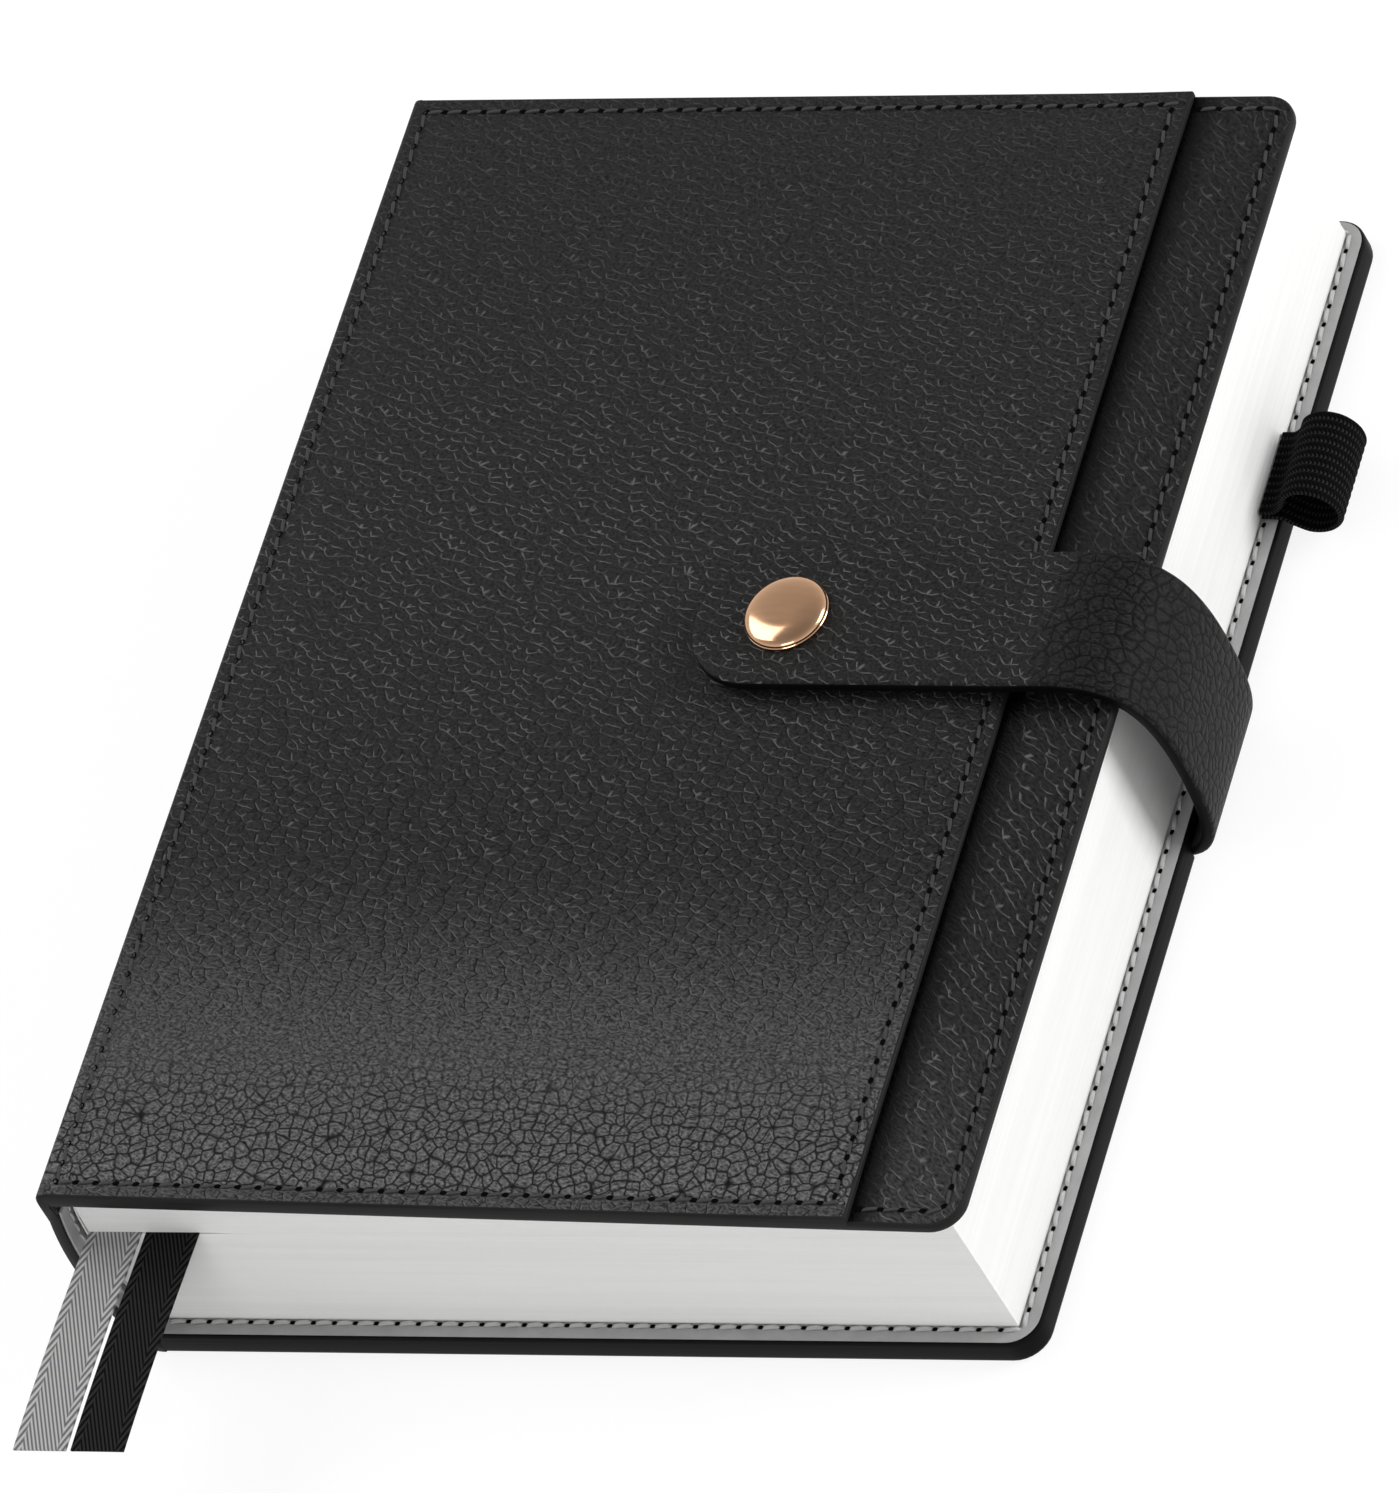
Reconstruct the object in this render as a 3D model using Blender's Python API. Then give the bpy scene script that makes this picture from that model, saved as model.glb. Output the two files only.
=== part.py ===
"""Bound notebook in a stitched leather wrap cover with a front pocket, a snap strap and a pen loop.

Millimetres in the constants, metres in the scene. X runs from the spine to the fore-edge, Y from tail to head,
Z up from the back cover's outer face.
"""

import math

import bmesh
import bpy
from mathutils import Matrix, Vector

MM = 0.001

# Cover panels
COVER_WIDTH = 148.0
COVER_HEIGHT = 204.0
CORNER_RADIUS = 5.0
EDGE_ROUND = 0.4
RIM_WALL = 0.9
BACK_LEATHER = 1.0
BACK_BOARD = 2.4
BACK_LINING = 0.6
FRONT_LEATHER = 0.6
FRONT_BOARD = 0.6
FRONT_LINING = 0.3
SPINE_LEATHER = 0.9
SPINE_BOARD = 0.5
SPINE_LINING = 0.4
SPINE_BULGE = 2.4

# Page block, thicker at the spine than at the fore-edge
BLOCK_AT_SPINE = 32.1
BLOCK_AT_FORE = 26.5
LOWER_LEAVES = 21.5
BLOCK_ROUND = 2.0
PAGE_INSET_FORE = 3.2
PAGE_INSET_END = 3.0
BACKING = 0.3
ENDPAPER = 0.3

# Pocket on the front, its mouth set back from the fore-edge
MOUTH_SETBACK = 17.0
POCKET_LEATHER = 0.6
POCKET_LINING = 0.2

# Closing strap: its tab's length from the fore-edge, its bend from the pocket's mouth, and how far its upright part
# leans to the tail on the way down
STRAP_WIDTH = 24.4
STRAP_CENTRE = 1.1
STRAP_LEAN = 2.0
STRAP_LEATHER = 1.0
STRAP_LINING = 0.8
STRAP_ANCHOR = 30.0
STRAP_STAND_OFF = 3.2
STRAP_BASE_RADIUS = 2.7
BEND_PAST_MOUTH = 1.0
BEND_RUN = 12.0
BEND_RISE = 0.5
BEND_DROP = 15.0
TAB_LENGTH = 69.2
TAB_ROUND = 11.0

# Snap fastener
SNAP_FROM_END = 15.2
CAP_RADIUS = 6.6
CAP_RIM = 0.6
CAP_DOME = 1.4
SOCKET_RADIUS = 4.8
SOCKET_PLATE = 0.4
STUD_FLANGE_RADIUS = 4.6
STUD_FLANGE = 0.4
NIPPLE_RADIUS = 2.1
NIPPLE_BULGE = 0.3
NIPPLE = 1.0
POST_RADIUS = 1.2

# Pen loop
LOOP_LENGTH = 15.4
LOOP_CENTRE = 52.7
LOOP_RADIUS = 5.2
LOOP_WEB = 0.95
LOOP_REACH = 10.5
LOOP_HEIGHT = 6.5

# Ribbon bookmarks
RIBBON_WIDTH = 8.8
RIBBON_THICK = 0.4
RIBBON_SPACE = 0.9
RIBBON_INSET = 0.0
RIBBON_FREE = 35.6
RIBBON_SAG = 4.0
RIBBON_DRIFT = 3.0
RIBBON_HEAD_STOP = 6.0

# Seams
THREAD = 0.6
SEAM_INSET = 2.3
SEAM_CORNER = 1.0
SEAM_LEVEL = 0.7
SEAM_RAMP = 0.9
SEAM_STOP = 2.0

# Clearances, the small round of cut corners, and how far a cutter runs past what it cuts
FIT_GAP = 0.3
CUT_CORNER = 0.3
CUT_PAST = 2.0

# Derived places
X_SPINE = -COVER_WIDTH / 2
X_FORE = COVER_WIDTH / 2
Y_HEAD = COVER_HEIGHT / 2
SPINE_THICK = SPINE_LEATHER + SPINE_BOARD + SPINE_LINING + 2 * FIT_GAP
BACK_THICK = BACK_LEATHER + BACK_BOARD + BACK_LINING + 2 * FIT_GAP
FRONT_THICK = FRONT_LEATHER + FRONT_BOARD + FRONT_LINING + 2 * FIT_GAP
POCKET_WIDTH = COVER_WIDTH - MOUTH_SETBACK
POCKET_UNDER = POCKET_LINING + 2 * FIT_GAP
POCKET_TOP = POCKET_UNDER + POCKET_LEATHER
TAB_END = COVER_WIDTH - TAB_LENGTH
SNAP_FROM_SPINE = TAB_END + SNAP_FROM_END
STRAP_THICK = STRAP_LEATHER + STRAP_LINING + FIT_GAP
BACK_START = X_SPINE + SPINE_THICK + FIT_GAP
LEAVES_BASE = BACK_THICK + ENDPAPER + 2 * FIT_GAP
FRONT_INNER = LEAVES_BASE + BLOCK_AT_SPINE + ENDPAPER + 2 * FIT_GAP
FOLD_HEIGHT = FRONT_INNER + FRONT_THICK
TILT = math.atan((BLOCK_AT_SPINE - BLOCK_AT_FORE) / COVER_WIDTH)
RIBBON_HEIGHT = LEAVES_BASE + LOWER_LEAVES + FIT_GAP + RIBBON_THICK / 2
Y_PAGE = Y_HEAD - PAGE_INSET_END
X_PAGE = X_FORE - PAGE_INSET_FORE
STUD_BASE = POCKET_TOP + FIT_GAP
STUD_TOP = STUD_BASE + STUD_FLANGE
SOCKET_BASE = STUD_TOP + FIT_GAP
SOCKET_ROOF = STUD_TOP + NIPPLE + FIT_GAP
SOCKET_TOP = SOCKET_ROOF + SOCKET_PLATE
TAB_UNDER = SOCKET_TOP - STRAP_LINING
CAP_BASE = TAB_UNDER + STRAP_THICK + FIT_GAP
ANCHOR_LOW = STRAP_CENTRE - STRAP_LEAN - STRAP_WIDTH / 2
ANCHOR_HIGH = ANCHOR_LOW + STRAP_WIDTH
X_SIDE = X_FORE + STRAP_STAND_OFF
X_LOOP = X_FORE + LOOP_REACH - LOOP_RADIUS

FLAT = Matrix.Identity(4)
FRONT = Matrix.Translation((X_SPINE, 0, FOLD_HEIGHT)) @ Matrix.Rotation(TILT, 4, "Y")
SPINE = Matrix.Translation((X_SPINE, 0, FIT_GAP))

for old in list(bpy.data.objects):
    bpy.data.objects.remove(old)


# Shapes
def paint(obj, colour, rough, metal=0.0):
    mat = bpy.data.materials.new(obj.name)
    mat.use_nodes = True
    shader = mat.node_tree.nodes["Principled BSDF"]
    shader.inputs["Base Color"].default_value = (*colour, 1.0)
    shader.inputs["Roughness"].default_value = rough
    shader.inputs["Metallic"].default_value = metal
    obj.data.materials.append(mat)


def solid(name, verts, faces, look, place=FLAT):
    """A closed body from points in the frame of place, which also gives its origin."""
    mesh = bpy.data.meshes.new(name)
    mesh.from_pydata([Vector(v) * MM for v in verts], [], faces)
    work = bmesh.new()
    work.from_mesh(mesh)
    bmesh.ops.remove_doubles(work, verts=work.verts, dist=1e-6)
    bmesh.ops.recalc_face_normals(work, faces=work.faces)
    work.to_mesh(mesh)
    work.free()
    obj = bpy.data.objects.new(name, mesh)
    bpy.context.scene.collection.objects.link(obj)
    obj.matrix_world = Matrix.Translation(place.translation * MM) @ place.to_3x3().to_4x4()
    paint(obj, *look)
    return obj


def seen_from(place, points):
    turn = place.inverted()
    return [turn @ Vector(p) for p in points]


def outline(x0, x1, y0, y1, radius, inset):
    """A panel's edge, pulled in by inset, round at its two fore-edge corners."""
    x0, x1, y0, y1 = x0 + inset, x1 - inset, y0 + inset, y1 - inset
    radius = max(radius - inset, CUT_CORNER / 2)
    points = [(x0, y0)]
    for cy, start in ((y0 + radius, -90), (y1 - radius, 0)):
        for step in range(7):
            turn = math.radians(start + 15 * step)
            points.append((x1 - radius + radius * math.cos(turn), cy + radius * math.sin(turn)))
    return points + [(x0, y1)]


def loft(name, edge, levels, look, place=FLAT):
    """A body through a panel's edge at each (inset, height), closed on its first and last levels."""
    rings = [[(x, y, z) for x, y in outline(*edge, inset)] for inset, z in levels]
    verts = [p for ring in rings for p in ring]
    count = len(rings[0])
    faces = [list(range(count)), [len(verts) - 1 - k for k in range(count)]]
    for low in range(len(rings) - 1):
        for k in range(count):
            a, b = low * count + k, low * count + (k + 1) % count
            faces.append([a, b, b + count, a + count])
    return solid(name, verts, faces, look, place)


def strip(name, stations, look, place=FLAT):
    """A band through stations of four corners each."""
    verts = [p for station in stations for p in station]
    last = len(verts) - 4
    faces = [[0, 1, 2, 3], [last + 3, last + 2, last + 1, last]]
    for low in range(0, last, 4):
        for k in range(4):
            a, b = low + k, low + (k + 1) % 4
            faces.append([a, b, b + 4, a + 4])
    return solid(name, seen_from(place, verts), faces, look, place)


def prism(name, section, y0, y1, look, place=FLAT):
    """A section in X and Z drawn out along Y."""
    count = len(section)
    verts = [(x, y, z) for y in (y0, y1) for x, z in section]
    faces = [list(range(count)), [2 * count - 1 - k for k in range(count)]]
    for k in range(count):
        after = (k + 1) % count
        faces.append([k, after, after + count, k + count])
    return solid(name, seen_from(place, verts), faces, look, place)


def turned(name, profile, centre, look, place=FLAT, steps=32):
    """A body turned about a line along the frame's Z, from a profile of (radius, height)."""
    rings, verts, faces = [], [], []
    for radius, height in profile:
        count = steps if radius else 1
        rings.append([len(verts) + k for k in range(count)])
        for k in range(count):
            turn = math.tau * k / steps
            verts.append((centre[0] + radius * math.cos(turn), centre[1] + radius * math.sin(turn), height))
    closed = profile[0][0] > 0
    pairs = list(zip(rings, rings[1:])) + ([(rings[-1], rings[0])] if closed else [])
    for one, two in pairs:
        for k in range(steps):
            quad = [one[k % len(one)], one[(k + 1) % len(one)], two[(k + 1) % len(two)], two[k % len(two)]]
            faces.append(list(dict.fromkeys(quad)))
    return solid(name, verts, [f for f in faces if len(f) > 2], look, place)


def thread(name, path, look, place=FLAT, closed=False):
    """A square cord along a path that always moves sideways."""
    stations = []
    for k, point in enumerate(path):
        before = path[k - 1] if k or closed else point
        after = path[(k + 1) % len(path)] if k + 1 < len(path) or closed else point
        run = Vector((after[0] - before[0], after[1] - before[1]))
        run.normalize()
        side = Vector((-run.y, run.x, 0)) * THREAD / 2
        lift = Vector((0, 0, THREAD / 2))
        middle = Vector(point)
        stations.append([middle - side - lift, middle + side - lift, middle + side + lift, middle - side + lift])
    verts = [p for station in stations for p in station]
    count = len(stations)
    faces = [] if closed else [[0, 1, 2, 3], [4 * count - k for k in (1, 2, 3, 4)]]
    for low in range(count if closed else count - 1):
        after = (low + 1) % count
        for k in range(4):
            nxt = (k + 1) % 4
            faces.append([4 * low + k, 4 * low + nxt, 4 * after + nxt, 4 * after + k])
    return solid(name, verts, faces, look, place)


def box(x0, x1, y0, y1, z0, z1):
    return [(x0, z0), (x1, z0), (x1, z1), (x0, z1)], y0, y1


def boolean(target, tool, way="DIFFERENCE"):
    tool.hide_render = True
    tool.display_type = "WIRE"
    cut = target.modifiers.new(tool.name, "BOOLEAN")
    cut.operation = way
    cut.solver = "EXACT"
    cut.object = tool


def bowed(x, bulge, z, z0, z1):
    """Where a line of the spine bows out to, away from the pages."""
    middle, half = (z0 + z1) / 2, (z1 - z0) / 2
    return x - bulge * (1 - ((z - middle) / half) ** 2)


def spread(low, high, count):
    return [low + (high - low) * k / (count - 1) for k in range(count)]


# Looks
BLACK_LEATHER = ((0.025, 0.025, 0.026), 0.5)
GREY_LINING = ((0.16, 0.16, 0.17), 0.85)
BOARD = ((0.30, 0.27, 0.22), 0.9)
PAPER = ((0.86, 0.86, 0.84), 0.8)
BLACK_THREAD = ((0.02, 0.02, 0.02), 0.7)
GREY_THREAD = ((0.55, 0.55, 0.56), 0.7)
ROSE_GOLD = ((0.80, 0.55, 0.40), 0.2, 1.0)
STEEL = ((0.55, 0.55, 0.56), 0.3, 1.0)
ELASTIC = ((0.02, 0.02, 0.02), 0.8)
GREY_RIBBON = ((0.35, 0.35, 0.36), 0.7)
BLACK_RIBBON = ((0.02, 0.02, 0.022), 0.7)

# Back cover
BACK_EDGE = (BACK_START, X_FORE, -Y_HEAD, Y_HEAD, CORNER_RADIUS)
BOARD_INSET = RIM_WALL + FIT_GAP
back_leather = loft(
    "back_leather",
    BACK_EDGE,
    [
        (EDGE_ROUND, 0),
        (0, EDGE_ROUND),
        (0, BACK_THICK - EDGE_ROUND),
        (EDGE_ROUND, BACK_THICK),
        (RIM_WALL, BACK_THICK),
        (RIM_WALL, BACK_LEATHER),
    ],
    BLACK_LEATHER,
)
board_base = BACK_LEATHER + FIT_GAP
back_board = loft(
    "back_board", BACK_EDGE, [(BOARD_INSET, board_base), (BOARD_INSET, board_base + BACK_BOARD)], BOARD
)
loft("back_lining", BACK_EDGE, [(BOARD_INSET, BACK_THICK - BACK_LINING), (BOARD_INSET, BACK_THICK)], GREY_LINING)
for panel in (back_leather, back_board):
    notch = prism(
        "notch_" + panel.name,
        *box(
            X_FORE - STRAP_ANCHOR - FIT_GAP,
            X_FORE + CUT_PAST,
            ANCHOR_LOW - FIT_GAP,
            ANCHOR_HIGH + FIT_GAP,
            -CUT_PAST,
            STRAP_THICK + FIT_GAP,
        ),
        BLACK_LEATHER,
    )
    boolean(panel, notch)

# Seam round three sides of the back lining, lifted over the pen loop's root
ROOT_TOP = BACK_THICK + FIT_GAP + 2 * LOOP_WEB
seam_low = BACK_THICK + FIT_GAP + THREAD / 2
seam_over = ROOT_TOP + FIT_GAP + THREAD / 2
edge_run = outline(*BACK_EDGE[:4], SEAM_INSET + SEAM_CORNER, SEAM_INSET)
loop_low = LOOP_CENTRE - LOOP_LENGTH / 2
loop_high = LOOP_CENTRE + LOOP_LENGTH / 2
seam = [(x, y, seam_low) for x, y in edge_run[:8]]
seam_x = X_FORE - SEAM_INSET
seam_foot = SEAM_LEVEL + SEAM_RAMP
seam += [(seam_x, loop_low - seam_foot, seam_low), (seam_x, loop_low - SEAM_LEVEL, seam_over)]
seam += [(seam_x, loop_high + SEAM_LEVEL, seam_over), (seam_x, loop_high + seam_foot, seam_low)]
seam += [(x, y, seam_low) for x, y in edge_run[8:]]
thread("back_seam_thread", seam, GREY_THREAD)

# Page block
Z_LOWER = LEAVES_BASE + LOWER_LEAVES
Z_UPPER = Z_LOWER + 2 * FIT_GAP + RIBBON_THICK
BLOCK_TOP = LEAVES_BASE + BLOCK_AT_SPINE
BACKING_START = BACK_START
LEAVES_START = BACKING_START + BACKING + FIT_GAP


def block_top(x):
    return BLOCK_TOP - math.tan(TILT) * (x - X_SPINE)


def leaf_edge(z):
    return bowed(LEAVES_START, BLOCK_ROUND, z, LEAVES_BASE, BLOCK_TOP)


low_curve = [(leaf_edge(z), z) for z in spread(Z_LOWER, LEAVES_BASE, 9)]
prism("lower_leaves", low_curve + [(X_PAGE, LEAVES_BASE), (X_PAGE, Z_LOWER)], -Y_PAGE, Y_PAGE, PAPER)
top_left = block_top(LEAVES_START)
high_curve = [(leaf_edge(z), z) for z in spread(top_left, Z_UPPER, 5)]
prism("upper_leaves", high_curve + [(X_PAGE, Z_UPPER), (X_PAGE, block_top(X_PAGE))], -Y_PAGE, Y_PAGE, PAPER)
outer_curve = [
    (bowed(BACKING_START, BLOCK_ROUND, z, LEAVES_BASE, BLOCK_TOP), z) for z in spread(LEAVES_BASE, top_left, 11)
]
inner_curve = [(x + BACKING, z) for x, z in reversed(outer_curve)]
prism("block_backing", outer_curve + inner_curve, -Y_PAGE, Y_PAGE, PAPER)
paper_low = BACK_THICK + FIT_GAP
PAGE_EDGE = (LEAVES_START, X_PAGE, -Y_PAGE, Y_PAGE, CUT_CORNER)
loft("back_endpaper", PAGE_EDGE, [(0, paper_low), (0, paper_low + ENDPAPER)], PAPER)

# Ribbons, held between the leaves and hanging free past the tail
ribbon_edge = leaf_edge(RIBBON_HEIGHT) + RIBBON_INSET


def ribbon(name, left, look):
    middle = left + RIBBON_WIDTH / 2
    held = box(
        left,
        left + RIBBON_WIDTH,
        -Y_PAGE + FIT_GAP,
        Y_PAGE - RIBBON_HEAD_STOP,
        RIBBON_HEIGHT - RIBBON_THICK / 2,
        RIBBON_HEIGHT + RIBBON_THICK / 2,
    )
    prism(name + "_held", *held, look)
    stations = []
    for along in spread(0, 1, 10):
        y = -Y_PAGE - RIBBON_FREE * along
        z = RIBBON_HEIGHT - RIBBON_SAG * along**2
        x = middle - RIBBON_DRIFT * along**1.5
        fall = math.atan2(2 * RIBBON_SAG * along, RIBBON_FREE)
        over_y, over_z = -math.sin(fall) * RIBBON_THICK / 2, math.cos(fall) * RIBBON_THICK / 2
        half = RIBBON_WIDTH / 2
        stations.append(
            [
                (x - half, y - over_y, z - over_z),
                (x + half, y - over_y, z - over_z),
                (x + half, y + over_y, z + over_z),
                (x - half, y + over_y, z + over_z),
            ]
        )
    strip(name + "_free", stations, look)


ribbon("grey_ribbon", ribbon_edge, GREY_RIBBON)
ribbon("black_ribbon", ribbon_edge + RIBBON_WIDTH + RIBBON_SPACE, BLACK_RIBBON)

# Pen loop, one elastic band sewn down on the lining
around = [math.tau * k / 28 for k in range(28)]
loop_ring = [(X_LOOP + LOOP_RADIUS * math.cos(t), LOOP_HEIGHT + LOOP_RADIUS * math.sin(t)) for t in around]
bore_radius = LOOP_RADIUS - LOOP_WEB
loop_bore = [(X_LOOP + bore_radius * math.cos(t), LOOP_HEIGHT + bore_radius * math.sin(t)) for t in around]
pen_loop = prism("pen_loop", loop_ring, loop_low, loop_high, ELASTIC)
root = box(X_PAGE + FIT_GAP, X_LOOP - bore_radius, loop_low, loop_high, BACK_THICK + FIT_GAP, ROOT_TOP)
boolean(pen_loop, prism("loop_root", *root, ELASTIC), "UNION")
boolean(pen_loop, prism("loop_bore", loop_bore, loop_low - CUT_PAST, loop_high + CUT_PAST, ELASTIC))

# Spine panel
spine_top = FRONT_INNER - 1.5 * FIT_GAP
spine_low = FIT_GAP


def spine_layer(name, start, thick, end_inset, look):
    heights = spread(spine_low, spine_top, 11)
    outer = [(bowed(X_SPINE + start, SPINE_BULGE, z, spine_low, spine_top), z) for z in heights]
    inner = [(x + thick, z) for x, z in reversed(outer)]
    prism(name, outer + inner, -Y_HEAD + end_inset, Y_HEAD - end_inset, look, SPINE)


spine_layer("spine_leather", 0, SPINE_LEATHER, 0, BLACK_LEATHER)
spine_layer("spine_board", SPINE_LEATHER + FIT_GAP, SPINE_BOARD, BOARD_INSET, BOARD)
spine_layer("spine_lining", SPINE_THICK - SPINE_LINING, SPINE_LINING, EDGE_ROUND, GREY_LINING)
for name, middle in (("spine_tail_thread", -Y_HEAD + SEAM_INSET), ("spine_head_thread", Y_HEAD - SEAM_INSET)):
    heights = spread(BACK_THICK + 2 * FIT_GAP, spine_top - SEAM_STOP, 9)
    near = [
        (bowed(X_SPINE + SPINE_THICK + FIT_GAP, SPINE_BULGE, z, spine_low, spine_top), z) for z in heights
    ]
    far = [(x + THREAD, z) for x, z in reversed(near)]
    prism(name, near + far, middle - THREAD / 2, middle + THREAD / 2, GREY_THREAD, SPINE)

# Front cover, in its own frame: X from the fold, Z up from the leather's face
FRONT_EDGE = (0, COVER_WIDTH, -Y_HEAD, Y_HEAD, CORNER_RADIUS)
loft(
    "front_leather",
    FRONT_EDGE,
    [
        (EDGE_ROUND, 0),
        (0, -EDGE_ROUND),
        (0, -FRONT_THICK + EDGE_ROUND),
        (EDGE_ROUND, -FRONT_THICK),
        (RIM_WALL, -FRONT_THICK),
        (RIM_WALL, -FRONT_LEATHER),
    ],
    BLACK_LEATHER,
    FRONT,
)
board_top = -FRONT_LEATHER - FIT_GAP
loft("front_board", FRONT_EDGE, [(BOARD_INSET, board_top - FRONT_BOARD), (BOARD_INSET, board_top)], BOARD, FRONT)
loft(
    "front_lining",
    FRONT_EDGE,
    [(BOARD_INSET, -FRONT_THICK), (BOARD_INSET, -FRONT_THICK + FRONT_LINING)],
    GREY_LINING,
    FRONT,
)
sheet_edge = (LEAVES_START - X_SPINE, COVER_WIDTH - PAGE_INSET_FORE, -Y_PAGE, Y_PAGE, CUT_CORNER)
sheet_top = -FRONT_THICK - FIT_GAP
loft("front_endpaper", sheet_edge, [(0, sheet_top - ENDPAPER), (0, sheet_top)], PAPER, FRONT)

# Pocket panel and its lining
POCKET_EDGE = (0, POCKET_WIDTH, -Y_HEAD, Y_HEAD, CUT_CORNER)
pocket_leather = loft(
    "pocket_leather",
    POCKET_EDGE,
    [
        (EDGE_ROUND, POCKET_TOP),
        (0, POCKET_TOP - EDGE_ROUND),
        (0, FIT_GAP),
        (RIM_WALL, FIT_GAP),
        (RIM_WALL, POCKET_UNDER),
    ],
    BLACK_LEATHER,
    FRONT,
)
pocket_lining = loft(
    "pocket_lining",
    POCKET_EDGE,
    [(BOARD_INSET, FIT_GAP), (BOARD_INSET, FIT_GAP + POCKET_LINING)],
    GREY_LINING,
    FRONT,
)

# Front seams
high, low = POCKET_TOP + FIT_GAP + THREAD / 2, FIT_GAP + THREAD / 2
front_run = outline(*FRONT_EDGE, SEAM_INSET)
step_near = POCKET_WIDTH + SEAM_LEVEL
step_far = step_near + SEAM_RAMP
tail_y, head_y = front_run[0][1], front_run[-1][1]
seam = [(*front_run[0], high), (step_near, tail_y, high), (step_far, tail_y, low)]
seam += [(x, y, low) for x, y in front_run[1:-1]]
seam += [(step_far, head_y, low), (step_near, head_y, high), (*front_run[-1], high)]
thread("front_seam_thread", seam, BLACK_THREAD, FRONT, closed=True)
mouth_x = POCKET_WIDTH - SEAM_INSET
mouth_y = Y_HEAD - SEAM_INSET - THREAD - FIT_GAP
thread("pocket_mouth_thread", [(mouth_x, -mouth_y, high), (mouth_x, mouth_y, high)], BLACK_THREAD, FRONT)

# Stud and its rivet on the pocket panel
SNAP = (SNAP_FROM_SPINE, STRAP_CENTRE)
hole_radius = POST_RADIUS + FIT_GAP
neck_radius = NIPPLE_RADIUS - NIPPLE_BULGE
turned(
    "snap_stud",
    [
        (0, STUD_TOP + NIPPLE),
        (neck_radius, STUD_TOP + NIPPLE),
        (NIPPLE_RADIUS, STUD_TOP + 0.7 * NIPPLE),
        (neck_radius, STUD_TOP + 0.3 * NIPPLE),
        (neck_radius, STUD_TOP),
        (STUD_FLANGE_RADIUS, STUD_TOP),
        (STUD_FLANGE_RADIUS, STUD_BASE),
        (hole_radius, STUD_BASE),
        (hole_radius, STUD_TOP + 0.6 * NIPPLE),
        (0, STUD_TOP + 0.6 * NIPPLE),
    ],
    SNAP,
    STEEL,
    FRONT,
)
turned(
    "stud_rivet",
    [
        (0, STUD_TOP + 0.6 * NIPPLE - FIT_GAP),
        (POST_RADIUS, STUD_TOP + 0.6 * NIPPLE - FIT_GAP),
        (POST_RADIUS, FIT_GAP + POCKET_LINING),
        (STUD_FLANGE_RADIUS, FIT_GAP + POCKET_LINING),
        (STUD_FLANGE_RADIUS, FIT_GAP),
        (0, FIT_GAP),
    ],
    SNAP,
    STEEL,
    FRONT,
)


def bore(name, radius, low, high, place, target):
    rod = turned(name, [(0, high), (radius, high), (radius, low), (0, low)], SNAP, STEEL, place)
    boolean(target, rod)


bore("post_hole", hole_radius, -CUT_PAST, POCKET_TOP + CUT_PAST, FRONT, pocket_leather)
bore("flange_hole", STUD_FLANGE_RADIUS + FIT_GAP, -CUT_PAST, POCKET_TOP + CUT_PAST, FRONT, pocket_lining)


# Strap path: its inner face in X and Z, from under the back cover to the tab's end
def front_point(along, above):
    point = FRONT @ Vector((along, 0, above))
    return Vector((point.x, point.z))


base_centre = Vector((X_SIDE - STRAP_BASE_RADIUS, STRAP_THICK + STRAP_BASE_RADIUS))
bend_start = front_point(POCKET_WIDTH + BEND_PAST_MOUTH, TAB_UNDER)
bend_lead = front_point(POCKET_WIDTH + BEND_PAST_MOUTH + BEND_RUN, TAB_UNDER)
bend_turn = Vector((X_SIDE, bend_start.y + BEND_RISE))
bend_end = Vector((X_SIDE, bend_start.y - BEND_DROP))
bend_handles = (bend_start, bend_lead, bend_turn, bend_end)


def on_bend(t):
    a, b, c, d = bend_handles
    s = 1 - t
    point = s**3 * a + 3 * s * s * t * b + 3 * s * t * t * c + t**3 * d
    run = 3 * s * s * (b - a) + 6 * s * t * (c - b) + 3 * t * t * (d - c)
    return point, Vector((-run.y, run.x)).normalized()


def on_base(turn):
    away = Vector((math.cos(turn), math.sin(turn)))
    return base_centre + STRAP_BASE_RADIUS * away, away


BEND_SPLIT = 0.62
BASE_SPLIT = math.radians(-45)
lift_point, lift_away = on_bend(BEND_SPLIT)
LIFT_AXIS = lift_point + STRAP_THICK * lift_away
swing_point, swing_away = on_base(BASE_SPLIT)
SWING_AXIS = swing_point + STRAP_THICK * swing_away
SIDE = Matrix.Translation((SWING_AXIS.x, 0, SWING_AXIS.y))
TAB = Matrix.Translation((LIFT_AXIS.x, 0, LIFT_AXIS.y))


def strap_middle(z):
    """Middle of the strap in Y, leaning to the tail from the top bend down to the base."""
    fall = (bend_start.y - z) / (bend_start.y - base_centre.y)
    return STRAP_CENTRE - STRAP_LEAN * min(max(fall, 0), 1)


def ply(name, places, low, high, look, place, widths=None):
    """One layer of the strap, between two heights above its inner face."""
    stations = []
    for k, (point, away) in enumerate(places):
        half = widths[k] if widths else STRAP_WIDTH / 2
        middle = strap_middle(point.y)
        y0, y1 = middle - half, middle + half
        a, b = point + low * away, point + high * away
        stations.append([(a.x, y0, a.y), (a.x, y1, a.y), (b.x, y1, b.y), (b.x, y0, b.y)])
    return strip(name, stations, look, place)


# Part of the strap sewn into the back cover
base_gap = FIT_GAP / (STRAP_BASE_RADIUS + STRAP_THICK)
flat_run = [Vector((X_FORE - STRAP_ANCHOR, STRAP_THICK)), Vector((base_centre.x, STRAP_THICK))]
down = Vector((0, -1))
anchor = [(flat_run[0], down)] + [on_base(t) for t in spread(math.radians(-90), BASE_SPLIT - base_gap, 5)]
ply("strap_anchor", anchor, 0, STRAP_THICK, BLACK_LEATHER, FLAT)

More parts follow.
